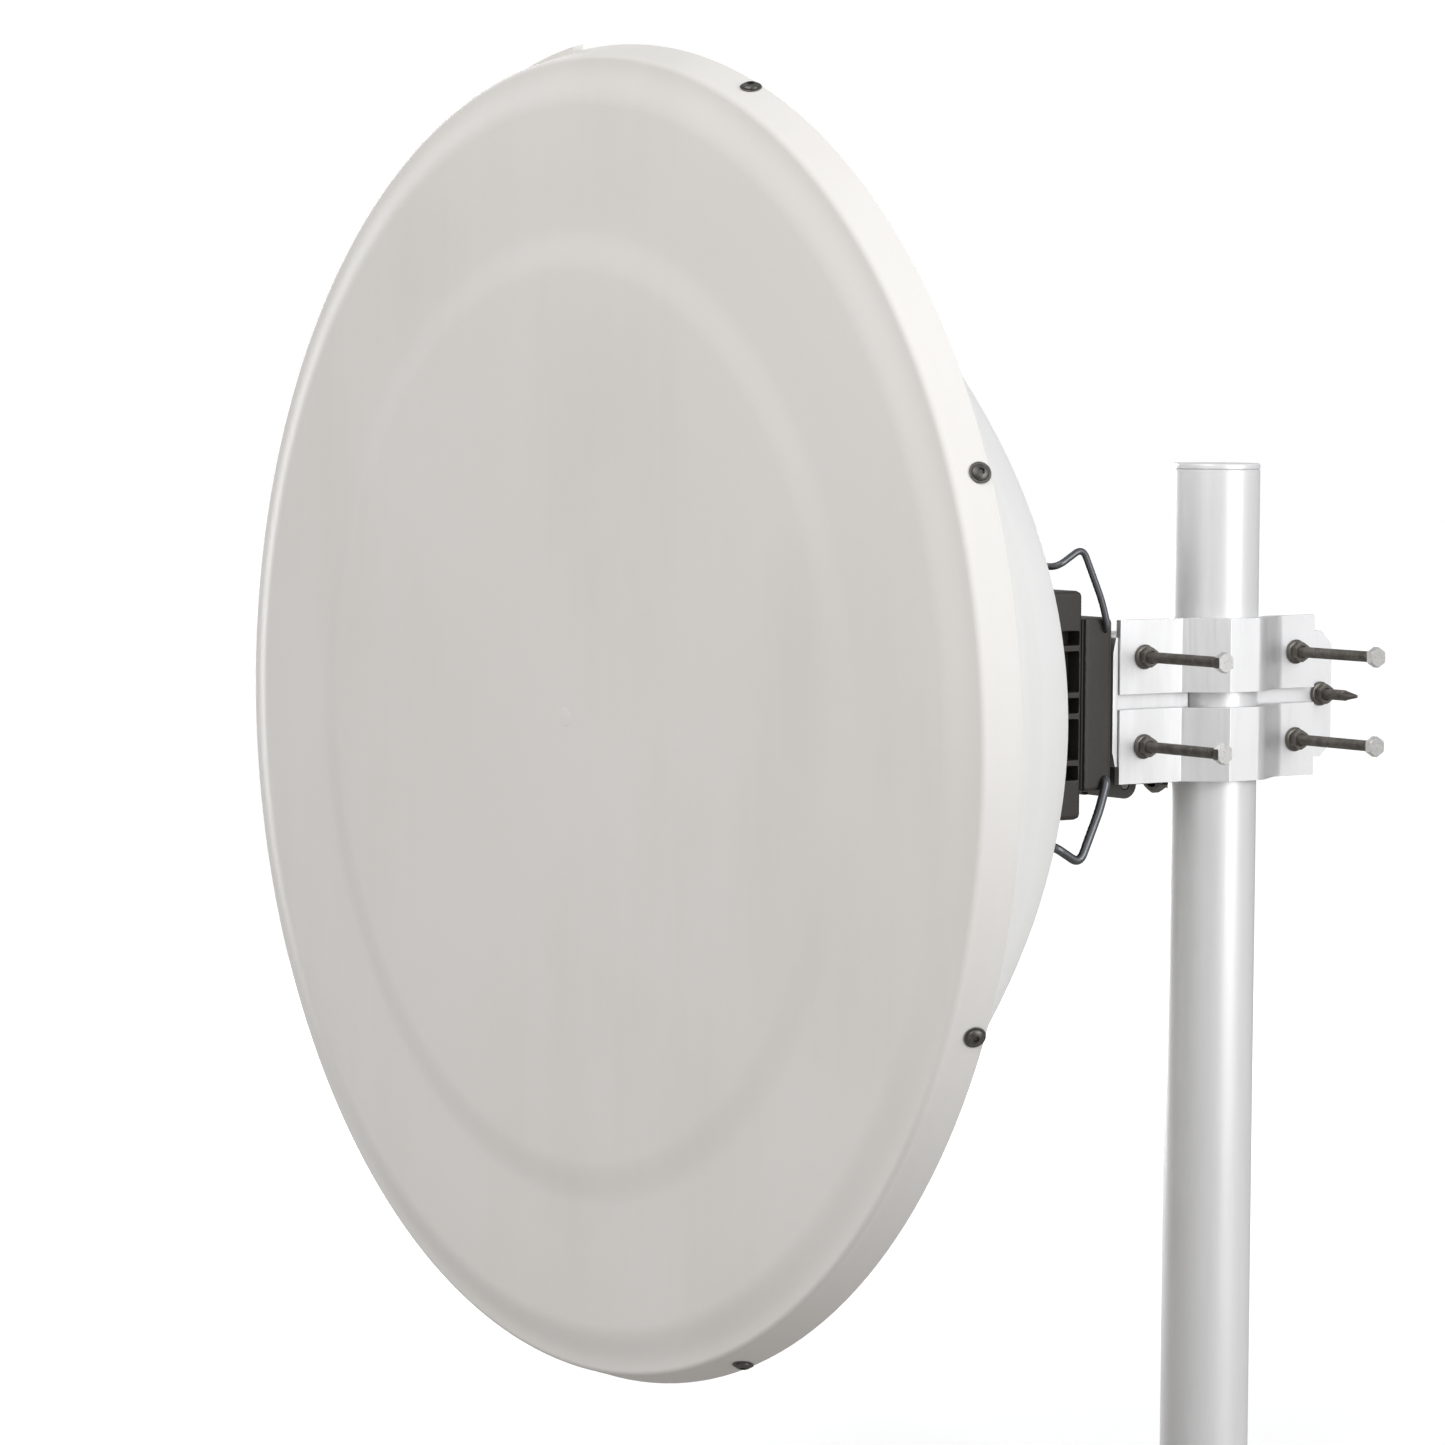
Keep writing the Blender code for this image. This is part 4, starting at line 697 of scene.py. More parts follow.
# ---------------------------------------------------------------- the radio unit
# A die-cast box with five ribbed windows in each side, closed at the back by a smooth cover on a
# rubber gasket.  Inside are the circuit board with its shielding can, and the waveguide.
def make_soft_rubber():
    """Black rubber with a matt, faintly grained skin."""
    material, tree, shader, place = new_material("soft_rubber")
    grain = grained(tree, place, 1500.0, 0.00006)
    colour_by(tree, shader, grain["Mask"], (0.012, 0.012, 0.012), (0.035, 0.034, 0.033))
    roughen(tree, shader, grain, 0.65, 0.9)
    return material


soft_rubber = make_soft_rubber()
housing = eased_copy("radio_housing", "ribbed_housing", 0.0006, angle=40)
fit(housing, dark_casting, "dark_cast_metal", "dish", "radio_housing", flat_faces=True)
cover = eased_copy("radio_cover", "rear_cover", 0.0006, angle=40)
fit(cover, dark_casting, "dark_cast_metal", "dish", "radio_cover", flat_faces=True)
gasket = eased_copy("radio_gasket", "cover_gasket", 0.0003)
fit(gasket, soft_rubber, "black_rubber", "dish", "radio_gasket")

housing_low, housing_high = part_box("radio_housing")
cover_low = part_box("radio_cover")[0]
dish_x = (housing_low.x + housing_high.x) / 2
dish_z = (housing_low.z + housing_high.z) / 2


# ---------------------------------------------------------------- the wire latches
# Each latch is one bent spring wire, hinged in the cover's two sides, whose far bar hooks over a
# keeper on the hub.  It is drawn as a bent wire with rounded corners.
def make_spring_wire():
    """Drawn steel wire, dulled and stained outdoors."""
    material, tree, shader, place = new_material("spring_wire", Metallic=0.95)
    grain = grained(tree, place, 1600.0, 0.00002)
    dirt = place_group(tree, weather, {"Vector": place, "Scale": 70.0, "Amount": 0.7})
    colour_by(tree, shader, dirt["Mask"], (0.15, 0.155, 0.165), (0.075, 0.075, 0.08))
    roughen(tree, shader, grain, 0.34, 0.50)
    return material


spring_wire = make_spring_wire()
latch_bend = 0.008
latch_wire = 0.0025
stout_wire = 0.0033                      # the lower one is stouter
pivot_y = -0.1275
pivot_out = 0.054                        # the hinges' distance above and below the cover's middle
pin_length = 0.0102
for row, side in (("upper", 1), ("lower", -1)):
    low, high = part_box(f"latch_{row}")
    pivot_z = dish_z + side * pivot_out
    leg_x = (high.x - low.x) / 2 - latch_wire
    pin_x = leg_x - pin_length
    half = [(pin_x, 0, 0), (leg_x, 0, 0), (leg_x, 0.0065, 0.021), (leg_x, 0.0245, 0.059),
            (leg_x, 0.0475, 0.0456)]
    corners = [Vector((dish_x + x, pivot_y - ahead, pivot_z + side * out)) for x, ahead, out in half]
    corners += [Vector((dish_x - x, pivot_y - ahead, pivot_z + side * out))
                for x, ahead, out in reversed(half)]
    path = [corners[0]]
    for before, corner, after in zip(corners, corners[1:], corners[2:]):
        reach = min(latch_bend, (before - corner).length * 0.45, (after - corner).length * 0.45)
        first = corner + (before - corner).normalized() * reach
        last = corner + (after - corner).normalized() * reach
        for share in range(9):
            t = share / 8
            path.append(first * (1 - t) ** 2 + corner * 2 * t * (1 - t) + last * t * t)
    path.append(corners[-1])
    wire = bpy.data.curves.new(f"bail_{row}", "CURVE")
    wire.dimensions = "3D"
    wire.bevel_depth = latch_wire if side > 0 else stout_wire
    wire.bevel_resolution = 6
    wire.use_fill_caps = True
    spline = wire.splines.new("POLY")
    spline.points.add(len(path) - 1)
    for point, place in zip(spline.points, path):
        point.co = (*place, 1)
    bail = bpy.data.objects.new(f"wire_bail_{row}", wire)
    bpy.context.scene.collection.objects.link(bail)
    take(bail)
    bpy.ops.object.convert(target="MESH")
    fit(bail, spring_wire, "dark_steel", "latch_a" if side > 0 else "latch_b", f"latch_{row}", angle=60)


# ---------------------------------------------------------------- the hub collar
# The casting between the reflector's hub and the radio, with a keeper tongue above and below.
collar = eased_copy("hub_collar", "hub_casting", 0.0006)
fit(collar, dark_casting, "dark_cast_metal", "dish", "hub_collar", flat_faces=True)
for number in range(1, 5):
    bolt = small_bolt(f"hub_fixing_{number}", f"hub_bolt_{number}", (0, 1, 0), 0.006, 0.004, 0.003, 0.001)
    fit(bolt, stainless, "bright_steel", "dish", f"hub_bolt_{number}", angle=28)


# ---------------------------------------------------------------- the reflector and its rim ring
# A deep bowl spun from 2 mm aluminium and powder-coated white.  The spinning tool leaves faint
# rings, and the rim ring is riveted to the bowl's flat lip.
def make_powder_white():
    """White powder coat over the faint rings that spinning leaves."""
    material, tree, shader, place = new_material("powder_white")
    centred = add(tree, "ShaderNodeMapping", {"Vector": place, "Location": (-dish_x, 0.0, -dish_z)})
    rings = add(tree, "ShaderNodeTexWave", {"Vector": centred.outputs[0], "Scale": 55.0, "Distortion": 0.25,
                                            "Detail": 1.0}, wave_type="RINGS", rings_direction="Y")
    skin = grained(tree, place, 900.0, 0.00005)
    spun = add(tree, "ShaderNodeBump", {"Height": rings.outputs["Fac"], "Distance": 0.00006, "Strength": 0.5,
                                        "Normal": skin["Normal"]})
    dirt = place_group(tree, weather, {"Vector": place, "Scale": 16.0, "Amount": 0.28})
    colour_by(tree, shader, dirt["Mask"], (0.856, 0.856, 0.845), (0.706, 0.696, 0.663))
    rough = add(tree, "ShaderNodeMapRange", {"Value": skin["Mask"], "To Min": 0.34, "To Max": 0.54})
    tree.links.new(rough.outputs[0], shader["Roughness"])
    tree.links.new(spun.outputs[0], shader["Normal"])
    return material


powder_white = make_powder_white()
bowl_low, bowl_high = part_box("reflector")
ring_low, ring_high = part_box("rim_ring")
hub_depth = -bowl_high.y                 # distances in front of the mast axis, along -Y
lip_depth = -bowl_low.y
lip_radius = (bowl_high.x - bowl_low.x) / 2
bowl_radius = lip_radius - 0.007
hub_radius = 0.1016
feed_hole = 0.0195
sheet = 0.002
fullness = 2.4


def bowl_depth(radius):
    """Depth of the bowl's back at a radius."""
    rise = lip_depth - sheet - hub_depth
    hub_share = (hub_radius / bowl_radius) ** fullness
    return hub_depth + rise * ((radius / bowl_radius) ** fullness - hub_share) / (1 - hub_share)


bowl_rows = 40
back = []
for row in range(bowl_rows + 1):
    radius = hub_radius + (bowl_radius - hub_radius) * row / bowl_rows
    back.append((radius, bowl_depth(radius)))
outer_back = [(feed_hole, hub_depth), (hub_radius - 0.006, hub_depth),
              (hub_radius - 0.002, hub_depth + 0.0003)]
outer_back += back[1:-1]
outer_back += [(bowl_radius - 0.0006, lip_depth - sheet - 0.0006), (bowl_radius + 0.001, lip_depth - sheet),
               (lip_radius - 0.0006, lip_depth - sheet), (lip_radius, lip_depth - sheet / 2),
               (lip_radius - 0.0006, lip_depth), (bowl_radius - 0.0005, lip_depth)]
inner_front = []
for (r0, d0), (r1, d1) in zip(back, back[1:]):
    slope = Vector((r1 - r0, d1 - d0)).normalized()
    inner_front.append(((r0 + r1) / 2 - slope.y * sheet, (d0 + d1) / 2 + slope.x * sheet))
inner_front = [(hub_radius - 0.004, hub_depth + sheet), *inner_front]
bowl_profile = outer_back + list(reversed(inner_front)) + [(feed_hole, hub_depth + sheet)]
dish_centre = (dish_x, 0, dish_z)
forward = (0, -1, 0)
bowl = turned("spun_bowl", ring_profile(bowl_profile), dish_centre, forward, 160)
fit(bowl, powder_white, "white_paint", "dish", "reflector", angle=40)

rim_radius = (ring_high.x - ring_low.x) / 2
rim_rear = -ring_high.y
rim_front = -ring_low.y
ring_inner = bowl_radius + 0.001
rim_profile = [(ring_inner, rim_rear), (rim_radius - 0.003, rim_rear)]
rim_profile += arc((rim_radius - 0.003, rim_rear + 0.003), 0.003, -90, 0, 5)[1:]
rim_profile += [(rim_radius, rim_front - 0.0006), (rim_radius - 0.0006, rim_front),
                (rim_radius - sheet, rim_front), (rim_radius - sheet, rim_rear + 0.004),
                (rim_radius - 0.004, rim_rear + sheet), (ring_inner, rim_rear + sheet)]
rim = turned("rim_channel", ring_profile(rim_profile), dish_centre, forward, 160)
fit(rim, powder_white, "white_paint", "dish", "rim_ring", angle=40)

rivet_count = 24
rivet_radius = 0.0028
rivet_rise = 0.0012
rivet_circle = lip_radius - 0.0032
rivet_dome = [(rivet_radius * math.cos(math.radians(a)), -rivet_rise * math.sin(math.radians(a)))
              for a in (60, 30, 0)]
rivet_profile = [(0, -rivet_rise), *rivet_dome, (rivet_radius, 0.0004), (0, 0.0004)]
for number in range(rivet_count):
    angle = math.tau * (number + 0.5) / rivet_count
    place = (dish_x + rivet_circle * math.cos(angle), -lip_depth + sheet,
             dish_z + rivet_circle * math.sin(angle))
    rivet = turned(f"lip_rivet_{number + 1}", rivet_profile, place, forward, 20)
    fit(rivet, powder_white, "white_paint", "dish")


# ---------------------------------------------------------------- the feed
# An aluminium feed tube flanged to the hub, with a white moulded head whose stepped rings
# spread the beam back over the bowl.
tube_low, tube_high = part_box("feed_tube")
feed_rear = -tube_high.y
feed_front = -tube_low.y
feed_radius = 0.0160
feed_bore = 0.0110
flange_radius = (tube_high.x - tube_low.x) / 2
flange_rear = hub_depth + sheet + 0.0003
feed_profile = [(feed_bore, feed_rear), (feed_radius, feed_rear), (feed_radius, flange_rear),
                (flange_radius - 0.0005, flange_rear), (flange_radius, flange_rear + 0.0005),
                (flange_radius, flange_rear + 0.0035), (flange_radius - 0.0005, flange_rear + 0.004),
                (feed_radius + 0.002, flange_rear + 0.004), (feed_radius, flange_rear + 0.006)]
for ring in range(6):
    groove = flange_rear + 0.100 + ring * 0.008
    feed_profile += [(feed_radius, groove), (feed_radius - 0.0012, groove + 0.0008),
                     (feed_radius - 0.0012, groove + 0.0032), (feed_radius, groove + 0.004)]
feed_profile += [(feed_radius, feed_front - 0.0004), (feed_radius - 0.0004, feed_front),
                 (feed_bore, feed_front)]
feed = turned("feed_pipe", ring_profile(feed_profile), dish_centre, forward, 64)
fit(feed, extruded_aluminium, "bright_aluminium", "dish", "feed_tube")
head_low, head_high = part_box("splash_plate")
head_rear = -head_high.y
head_front = -head_low.y
head_radius = (head_high.x - head_low.x) / 2
splash_seat = feed_front + 0.0003
plug = feed_bore - 0.0003
head_profile = [(0, head_rear), (plug - 0.001, head_rear), (plug, head_rear + 0.001),
                (plug, splash_seat), (feed_radius - 0.0005, splash_seat)]
for ring in range(5):
    share = (ring + 1) / 5.5
    radius = feed_radius + (head_radius - feed_radius) * share
    depth = splash_seat + (head_front - 0.007 - splash_seat) * share
    head_profile += [(radius - 0.0028, depth), (radius, depth), (radius, depth + 0.0022)]
head_profile += [(head_radius, head_front - 0.007), (head_radius, head_front - 0.003),
                 (head_radius * 0.9, head_front), (head_radius * 0.5, head_front), (0, head_front)]


def make_black_plastic():
    """Moulded black plastic with a fine matt skin."""
    material, tree, shader, place = new_material("black_moulding")
    grain = grained(tree, place, 1300.0, 0.00005)
    colour_by(tree, shader, grain["Mask"], (0.014, 0.014, 0.015), (0.030, 0.030, 0.031))
    roughen(tree, shader, grain, 0.38, 0.58)
    return material


def make_board_green():
    """Green solder mask with the tracks showing faintly through it."""
    material, tree, shader, place = new_material("board_green", Coat_Weight=0.4)
    turned_axes = add(tree, "ShaderNodeMapping", {"Vector": place, "Rotation": (math.pi / 2, 0.0, 0.0)})
    tracks = add(tree, "ShaderNodeTexBrick", {
        "Vector": turned_axes.outputs[0], "Scale": 60.0, "Color1": (0.010, 0.100, 0.035, 1),
        "Color2": (0.014, 0.130, 0.045, 1), "Mortar": (0.030, 0.200, 0.080, 1), "Mortar Size": 0.03})
    tree.links.new(tracks.outputs["Color"], shader["Base Color"])
    shader["Roughness"].default_value = 0.42
    return material


black_moulding = make_black_plastic()
board_green = make_board_green()
head = turned("feed_head", head_profile, dish_centre, forward, 64)
fit(head, powder_white, "white_plastic", "dish", "splash_plate", angle=28)


# ---------------------------------------------------------------- inside the radio
# A green circuit board on four posts, with black chips behind it, a tinned shielding can in front
# and the turned waveguide that joins the can to the feed.
board = eased_copy("main_board", "circuit_board", 0.0002, 1)
fit(board, board_green, "green_board", "dish", "main_board", flat_faces=True)
board_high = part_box("main_board")[1]
chip_thick = 0.0018
chip_rise = 0.0011                       # from the board to the middle of a chip
chips = [(-0.030, 0.022, 0.016, 0.016), (0.004, 0.026, 0.020, 0.012), (0.034, 0.020, 0.012, 0.018),
         (-0.034, -0.012, 0.010, 0.014), (-0.006, -0.006, 0.026, 0.026), (0.032, -0.014, 0.014, 0.010),
         (-0.026, -0.034, 0.018, 0.009), (0.014, -0.036, 0.022, 0.008)]
pieces = []
for across, up, wide, tall in chips:
    clear_selection()
    bpy.ops.mesh.primitive_cube_add(size=1, location=(dish_x + across, board_high.y + chip_rise, dish_z + up))
    chip = bpy.context.object
    chip.scale = (wide, chip_thick, tall)
    bpy.ops.object.transform_apply(location=True, rotation=True, scale=True)
    break_edges(chip, 0.0003, segments=1)
    pieces.append(chip)
chip_set = joined("board_chips", pieces)
fit(chip_set, black_moulding, "black_plastic", "dish")
can = eased_copy("rf_shield", "shielding_can", 0.0008, 3)
fit(can, stainless, "bright_steel", "dish", "rf_shield", flat_faces=True)
guide_low, guide_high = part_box("waveguide")
guide_outer = (guide_high.x - guide_low.x) / 2
guide_edge = 0.0005
guide_rear, guide_front = -guide_high.y, -guide_low.y
guide_profile = [(feed_bore, guide_rear), (guide_outer - guide_edge, guide_rear),
                 (guide_outer, guide_rear + guide_edge), (guide_outer, guide_front - guide_edge),
                 (guide_outer - guide_edge, guide_front), (feed_bore, guide_front)]
guide = turned("turned_waveguide", ring_profile(guide_profile), dish_centre, forward, 64)
fit(guide, extruded_aluminium, "bright_aluminium", "dish", "waveguide")


# ---------------------------------------------------------------- the cable gland and the vent
# Under the rear cover: a black gland with a ribbed cap, closed by a rubber blanking plug, and a
# slotted breather vent.
gland_low, gland_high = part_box("cable_gland")
gland_middle = (gland_low + gland_high) / 2
gland_radius = (gland_high.x - gland_low.x) / 2
gland_seat = cover_low.z - 0.0003
down = (0, 0, -1)
gland_axis = (gland_middle.x, gland_middle.y, gland_seat)
gland_length = gland_seat - gland_low.z
gland_bore = gland_radius * 0.5 + 0.0003
gland_nut = hexagon("gland_nut", gland_axis, down, gland_radius, 0.007)
gland_drill = [(0, -0.01), (gland_bore, -0.01), (gland_bore, 0.03), (0, 0.03)]
cut(gland_nut, turned("gland_drill", gland_drill, gland_axis, down, 40))
dome_profile = [(gland_bore, 0.0072), (gland_radius - 0.0015, 0.0072), (gland_radius - 0.0012, 0.0080),
                (gland_radius - 0.0012, 0.0150), (gland_radius - 0.0028, gland_length - 0.0012),
                (gland_radius - 0.0040, gland_length), (gland_bore, gland_length)]
gland_cap = turned("gland_cap", ring_profile(dome_profile), gland_axis, down, 48)
spigot_radius = gland_radius * 0.7
spigot_profile = [(gland_bore, -0.0078), (spigot_radius, -0.0078), (spigot_radius, 0.0005),
                  (gland_bore, 0.0005)]
gland_neck = turned("gland_neck", ring_profile(spigot_profile), gland_axis, down, 40)
rib_count = 18
ribs = []
for number in range(rib_count):
    angle = math.tau * number / rib_count
    spoke = Vector((math.cos(angle), math.sin(angle), 0)) * (gland_radius - 0.0012)
    ribs.append(turned(f"gland_rib_{number}", [(0, 0), (0.0006, 0.0004), (0.0006, 0.0062), (0, 0.0066)],
                       Vector(gland_axis) + spoke + Vector(down) * 0.0082, down, 10))
gland = joined("ribbed_gland", [gland_nut, gland_cap, gland_neck, *ribs])
fit(gland, black_moulding, "black_plastic", "dish", "cable_gland", angle=28)
blank_low, blank_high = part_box("gland_plug")
blank_radius = gland_radius * 0.5
blank_head = (blank_high.x - blank_low.x) / 2
blank_top = gland_seat - blank_high.z
blank_end = gland_seat - blank_low.z
blank_profile = [(0, blank_top), (blank_radius - 0.0006, blank_top), (blank_radius, blank_top + 0.0006),
                 (blank_radius, gland_length + 0.0003), (blank_head - 0.0004, gland_length + 0.0003),
                 (blank_head, gland_length + 0.0008), (blank_head, blank_end - 0.0012),
                 (blank_head - 0.0010, blank_end - 0.0002), (blank_head * 0.4, blank_end), (0, blank_end)]
blank = turned("blanking_plug", blank_profile, gland_axis, down, 48)
fit(blank, soft_rubber, "black_rubber", "dish", "gland_plug")
vent_low, vent_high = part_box("vent_plug")
vent_middle = (vent_low + vent_high) / 2
vent_radius = (vent_high.x - vent_low.x) / 2
vent_axis = (vent_middle.x, vent_middle.y, gland_seat)
vent_end = gland_seat - vent_low.z
vent_profile = [(0, -0.0058), (vent_radius * 0.6, -0.0058), (vent_radius * 0.6, 0), (vent_radius - 0.0004, 0),
                (vent_radius, 0.0004), (vent_radius, 0.0012), (vent_radius - 0.0010, 0.0016),
                (vent_radius - 0.0010, 0.0030), (vent_radius, 0.0034), (vent_radius, vent_end - 0.0012),
                (vent_radius - 0.0012, vent_end), (0, vent_end)]
vent_body = turned("vent_body", vent_profile, vent_axis, down, 48)
fit(vent_body, black_moulding, "black_plastic", "dish", "vent_plug", angle=28)


# ---------------------------------------------------------------- the radome
# One piece of moulded weather-proof plastic: a raised centre disc, an outer band and a flared
# skirt over the rim ring.  It has a faint gate mark in the middle and a small raised corner on
# its lip near the top.
def make_moulded_white():
    """Warm white moulding, faintly clouded, with a matt skin and a little dirt."""
    material, tree, shader, place = new_material("moulded_white", Specular_IOR_Level=0.35)
    skin = grained(tree, place, 650.0, 0.00006)
    dirt = place_group(tree, weather, {"Vector": place, "Scale": 9.0, "Amount": 0.22})
    cloud = add(tree, "ShaderNodeTexNoise", {"Vector": place, "Scale": 3.2, "Detail": 2.0})
    warm = tint(tree, cloud.outputs["Fac"], (0.701, 0.685, 0.658), (0.738, 0.728, 0.706))
    colour_by(tree, shader, dirt["Mask"], warm, (0.58, 0.56, 0.52))
    roughen(tree, shader, skin, 0.56, 0.72)
    return material


moulded_white = make_moulded_white()
radome_low, radome_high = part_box("radome")
skirt_lip = (radome_high.x - radome_low.x) / 2
skirt_rear = -radome_high.y
disc_front = -radome_low.y
disc_rise = 0.0035
face_front = disc_front - disc_rise
edge_depth = skirt_rear + 0.024          # where the face's edge meets the skirt
edge_radius = skirt_lip - 0.007
band_radius = 0.4185
step_outer = 0.334
step_inner = 0.302
wall = 0.003


def eased_step(first, last, count):
    """Points of a smooth step between two (radius, depth) places."""
    points = []
    for i in range(count + 1):
        t = i / count
        rise = t * t * (3 - 2 * t)
        points.append((first[0] + (last[0] - first[0]) * t, first[1] + (last[1] - first[1]) * rise))
    return points


face = [(0, disc_front), (0.10, disc_front), (0.20, disc_front), (step_inner - 0.03, disc_front)]
face += eased_step((step_inner, disc_front), (step_outer, face_front), 10)
face += [(step_outer + 0.03, face_front)]
face += eased_step((band_radius - 0.004, face_front), (edge_radius - 0.0045, edge_depth + 0.0015), 8)
face += arc((edge_radius - 0.0045, edge_depth - 0.0030), 0.0045, 80, 10, 6)
face += [(edge_radius + 0.0012, edge_depth - 0.007), (edge_radius + 0.0025, edge_depth - 0.010),
         (edge_radius + 0.0045, edge_depth - 0.0165), (skirt_lip - 0.0003, skirt_rear + 0.0012),
         (skirt_lip, skirt_rear + 0.0006), (skirt_lip - 0.0006, skirt_rear)]
under = [(skirt_lip - wall + 0.0004, skirt_rear), (skirt_lip - wall, skirt_rear + 0.0006),
         (edge_radius + 0.0025 - wall, edge_depth - 0.010), (edge_radius - wall, edge_depth - wall - 0.0015),
         (band_radius - 0.001, face_front - wall), (step_outer - 0.001, face_front - wall),
         (step_inner - 0.001, disc_front - wall), (0, disc_front - wall)]
radome = turned("moulded_radome", face + under, dish_centre, forward, 200)
fit(radome, moulded_white, "white_plastic", "dish", "radome", angle=50)

tab_steps = 10
tab_start, tab_sweep = 94.4, 8           # where the raised corner stands on the lip, in degrees
tab_rise = 0.0036
tab_rear, tab_front = 0.0004, 0.0090
corners, faces = [], [(0, 1, 2, 3)]
for step in range(tab_steps + 1):
    share = step / tab_steps
    angle = math.radians(tab_start + tab_sweep * share)
    top = skirt_lip + tab_rise * (1 - share)
    section = ((tab_rear, skirt_lip - 0.0010), (tab_rear, top), (tab_front, top - 0.0020),
               (tab_front, skirt_lip - 0.0050))
    for depth, radius in section:
        corners.append((dish_x + radius * math.cos(angle), -skirt_rear - depth,
                        dish_z + radius * math.sin(angle)))
    if step < tab_steps:
        near, far = 4 * step, 4 * step + 4
        faces += [(near + side, far + side, far + (side + 1) % 4, near + (side + 1) % 4) for side in range(4)]
faces.append(tuple(4 * tab_steps + side for side in (3, 2, 1, 0)))
tab = shell("seam_tab", corners, faces)
fit(tab, moulded_white, "white_plastic", "dish", angle=50)

gate = turned("gate_mark", [(0, 0.0003), (0.0045, 0.0003), (0.0062, 0.0001), (0.0068, -0.0005), (0, -0.0005)],
              (dish_x, -disc_front, dish_z), forward, 48)
fit(gate, moulded_white, "white_plastic", "dish")


# ---------------------------------------------------------------- the rim screws
# Eight pan-head screws with a hexagon socket, zinc-plated and gone dull, each on a washer, square
# on the skirt's flare.
def make_weathered_zinc():
    """Zinc plating gone dull and grey outdoors, with darker stains."""
    material, tree, shader, place = new_material("weathered_zinc", Metallic=0.85)
    stain = add(tree, "ShaderNodeTexNoise", {"Vector": place, "Scale": 520.0, "Detail": 4.0})
    colour_by(tree, shader, stain.outputs["Fac"], (0.035, 0.034, 0.030), (0.20, 0.195, 0.18))
    rough = add(tree, "ShaderNodeMapRange", {"Value": stain.outputs["Fac"], "To Min": 0.34, "To Max": 0.58})
    tree.links.new(rough.outputs[0], shader["Roughness"])
    return material


weathered_zinc = make_weathered_zinc()
flare = Vector((0.0045, 0.014)).normalized()       # along the flare: outward, rearward
seat_radius = edge_radius + 0.0025 + 0.00225
seat_depth = edge_depth - 0.010 - 0.007
pan_radius, pan_rise = 0.0056, 0.0024
shank_radius, shank_end = 0.0030, -0.0180
washer_top = 0.0009
pan_dome = [(pan_radius * math.sin(math.radians(a)), 0.0010 + pan_rise * math.cos(math.radians(a)))
            for a in range(30, 91, 12)]
pan_profile = [(0, 0.0034), (0.0014, 0.00335), *pan_dome, (pan_radius, washer_top),
               (shank_radius, washer_top), (shank_radius, shank_end + 0.0005), (0.0022, shank_end),
               (0, shank_end)]
washer_profile = ring_profile([(0.0031, 0.0003), (0.0069, 0.0003), (0.0072, 0.0006), (0.0069, washer_top),
                               (0.0031, washer_top)])
for number in range(1, 9):
    angle = math.radians(45 * (number - 0.5))
    spoke = Vector((math.cos(angle), 0, math.sin(angle)))
    out = spoke * flare.y + Vector(forward) * flare.x
    seat = Vector(dish_centre) + spoke * seat_radius + Vector(forward) * seat_depth
    screw = turned(f"pan_screw_{number}", pan_profile, seat, out, 32)
    disc = turned(f"screw_washer_{number}", washer_profile, seat, out, 32)
    cut(screw, hexagon(f"socket_{number}", seat + out * 0.0016, out, 0.0024, 0.004))
    screw = joined(f"pan_screw_{number}", [screw, disc])
    fit(screw, weathered_zinc, "bright_steel", "dish", f"rim_screw_{number}", angle=28)


# ---------------------------------------------------------------- the stage
# A plain white floor and surround, a broad soft light high in front, a low one on the right, a
# brighter low one on the left that reaches the back, and the camera.
def make_backdrop():
    """White to the camera with a faint shadow, but a duller grey to everything that it lights."""
    material = bpy.data.materials.new("backdrop")
    material.use_nodes = True
    tree = material.node_tree
    tree.nodes.remove(tree.nodes["Principled BSDF"])
    place = tree.nodes.new("ShaderNodeTexCoord").outputs["Object"]
    away = add(tree, "ShaderNodeVectorMath", {0: place}, operation="LENGTH")
    glow = add(tree, "ShaderNodeMapRange", {"Value": away.outputs["Value"], "From Min": 0.5, "From Max": 2.4,
                                            "To Min": 0.50, "To Max": 0.80}, interpolation_type="SMOOTHSTEP")
    white = add(tree, "ShaderNodeEmission", {"Color": (1.0, 1.0, 1.0, 1.0),
                                             "Strength": glow.outputs["Result"]})
    paper = add(tree, "ShaderNodeBsdfDiffuse", {"Color": (0.50, 0.50, 0.50, 1.0)})
    seen = tree.nodes.new("ShaderNodeAddShader")
    tree.links.new(white.outputs[0], seen.inputs[0])
    tree.links.new(paper.outputs[0], seen.inputs[1])
    dull = add(tree, "ShaderNodeBsdfDiffuse", {"Color": (0.36, 0.35, 0.34, 1.0)})
    chosen = tree.nodes.new("ShaderNodeMixShader")
    tree.links.new(tree.nodes.new("ShaderNodeLightPath").outputs["Is Camera Ray"], chosen.inputs[0])
    tree.links.new(dull.outputs[0], chosen.inputs[1])
    tree.links.new(seen.outputs[0], chosen.inputs[2])
    tree.links.new(chosen.outputs[0], tree.nodes["Material Output"].inputs["Surface"])
    return material


clear_selection()
bpy.ops.mesh.primitive_plane_add(size=40, location=(0, 0, -0.0005))
floor = bpy.context.object
floor.name = "floor"
floor.data.materials.append(make_backdrop())

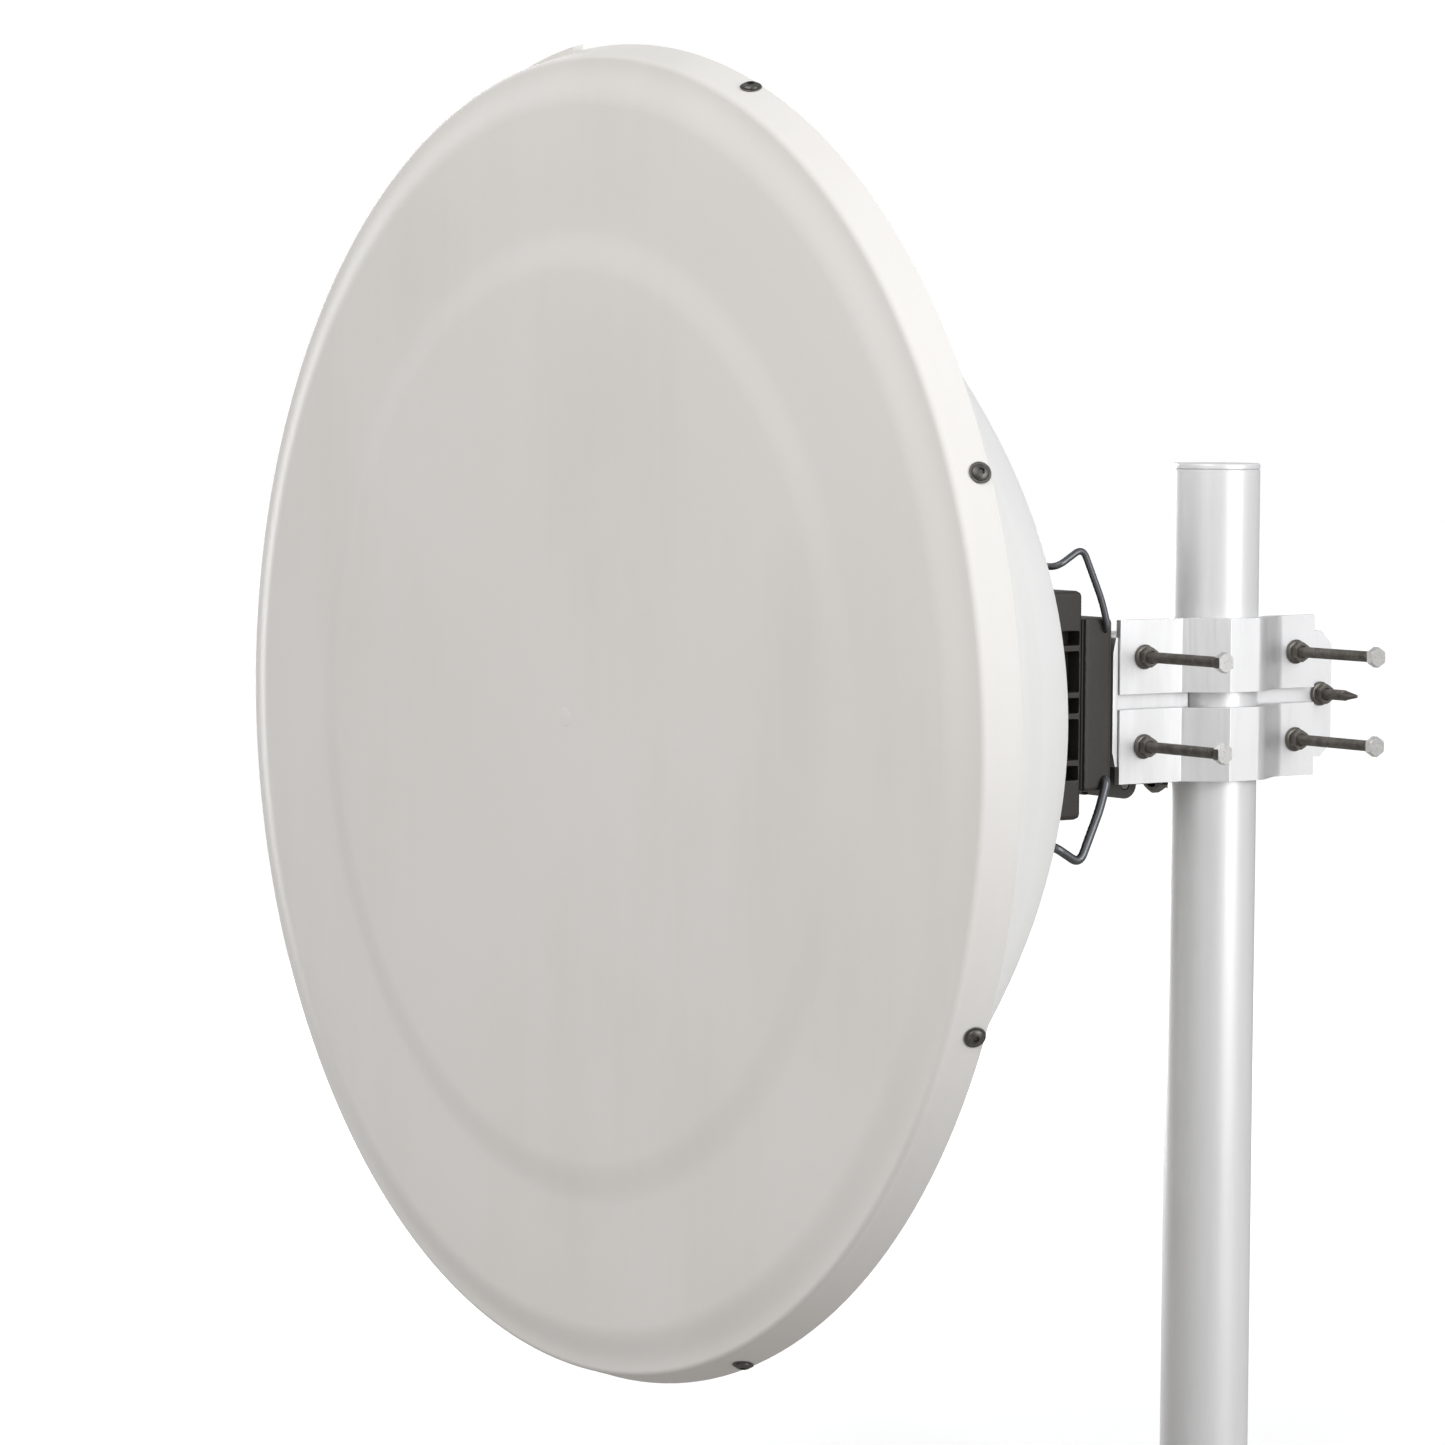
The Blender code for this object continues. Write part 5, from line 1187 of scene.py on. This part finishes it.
world = bpy.data.worlds.new("studio")
bpy.context.scene.world = world
world.use_nodes = True
sky = world.node_tree
seen = add(sky, "ShaderNodeBackground", {"Color": (1.0, 1.0, 1.0, 1.0), "Strength": 1.0})
room = sky.nodes["Background"]
room.inputs["Color"].default_value = (0.98, 0.99, 1.0, 1.0)
room.inputs["Strength"].default_value = 0.50
chosen = sky.nodes.new("ShaderNodeMixShader")
sky.links.new(sky.nodes.new("ShaderNodeLightPath").outputs["Is Camera Ray"], chosen.inputs[0])
sky.links.new(room.outputs[0], chosen.inputs[1])
sky.links.new(seen.outputs[0], chosen.inputs[2])
sky.links.new(chosen.outputs[0], sky.nodes["World Output"].inputs["Surface"])
bpy.context.scene.view_settings.view_transform = "Standard"


def soft_light(name, azimuth, elevation, distance, size, power, colour=(1, 1, 1)):
    """A rectangular soft light aimed at the middle of the object; azimuth is measured from +X."""
    away = Vector((math.cos(math.radians(azimuth)) * math.cos(math.radians(elevation)),
                   math.sin(math.radians(azimuth)) * math.cos(math.radians(elevation)),
                   math.sin(math.radians(elevation))))
    lamp = bpy.data.lights.new(name, "AREA")
    lamp.shape = "RECTANGLE"
    lamp.size, lamp.size_y = size
    lamp.energy = power
    lamp.color = colour
    made = bpy.data.objects.new(name, lamp)
    bpy.context.scene.collection.objects.link(made)
    made.location = Vector((dish_x, -0.2, dish_z)) + away * distance
    made.rotation_euler = (-away).to_track_quat("-Z", "Y").to_euler()
    return made


soft_light("front_light", -74, 38, 4.0, (3.4, 2.8), 93, (1.0, 0.982, 0.968))
soft_light("right_light", 15, 13, 3.6, (2.2, 2.6), 83, (0.985, 0.99, 1.0))
soft_light("left_light", 172, 5, 3.6, (1.6, 2.6), 165, (0.99, 0.995, 1.0))

camera_data = bpy.data.cameras.new("camera")
camera_data.lens = 121.6
camera_data.sensor_width = 36
camera = bpy.data.objects.new("camera", camera_data)
bpy.context.scene.collection.objects.link(camera)
camera_turn, camera_drop, camera_roll = (math.radians(degrees) for degrees in (55.1, 3.94, 0.33))
camera.matrix_world = (
    Matrix.Translation((2.736, -2.349, 0.846)) @ Matrix.Rotation(camera_turn, 4, "Z")
    @ Matrix.Rotation(math.pi / 2 - camera_drop, 4, "X") @ Matrix.Rotation(camera_roll, 4, "Z"))
bpy.context.scene.camera = camera
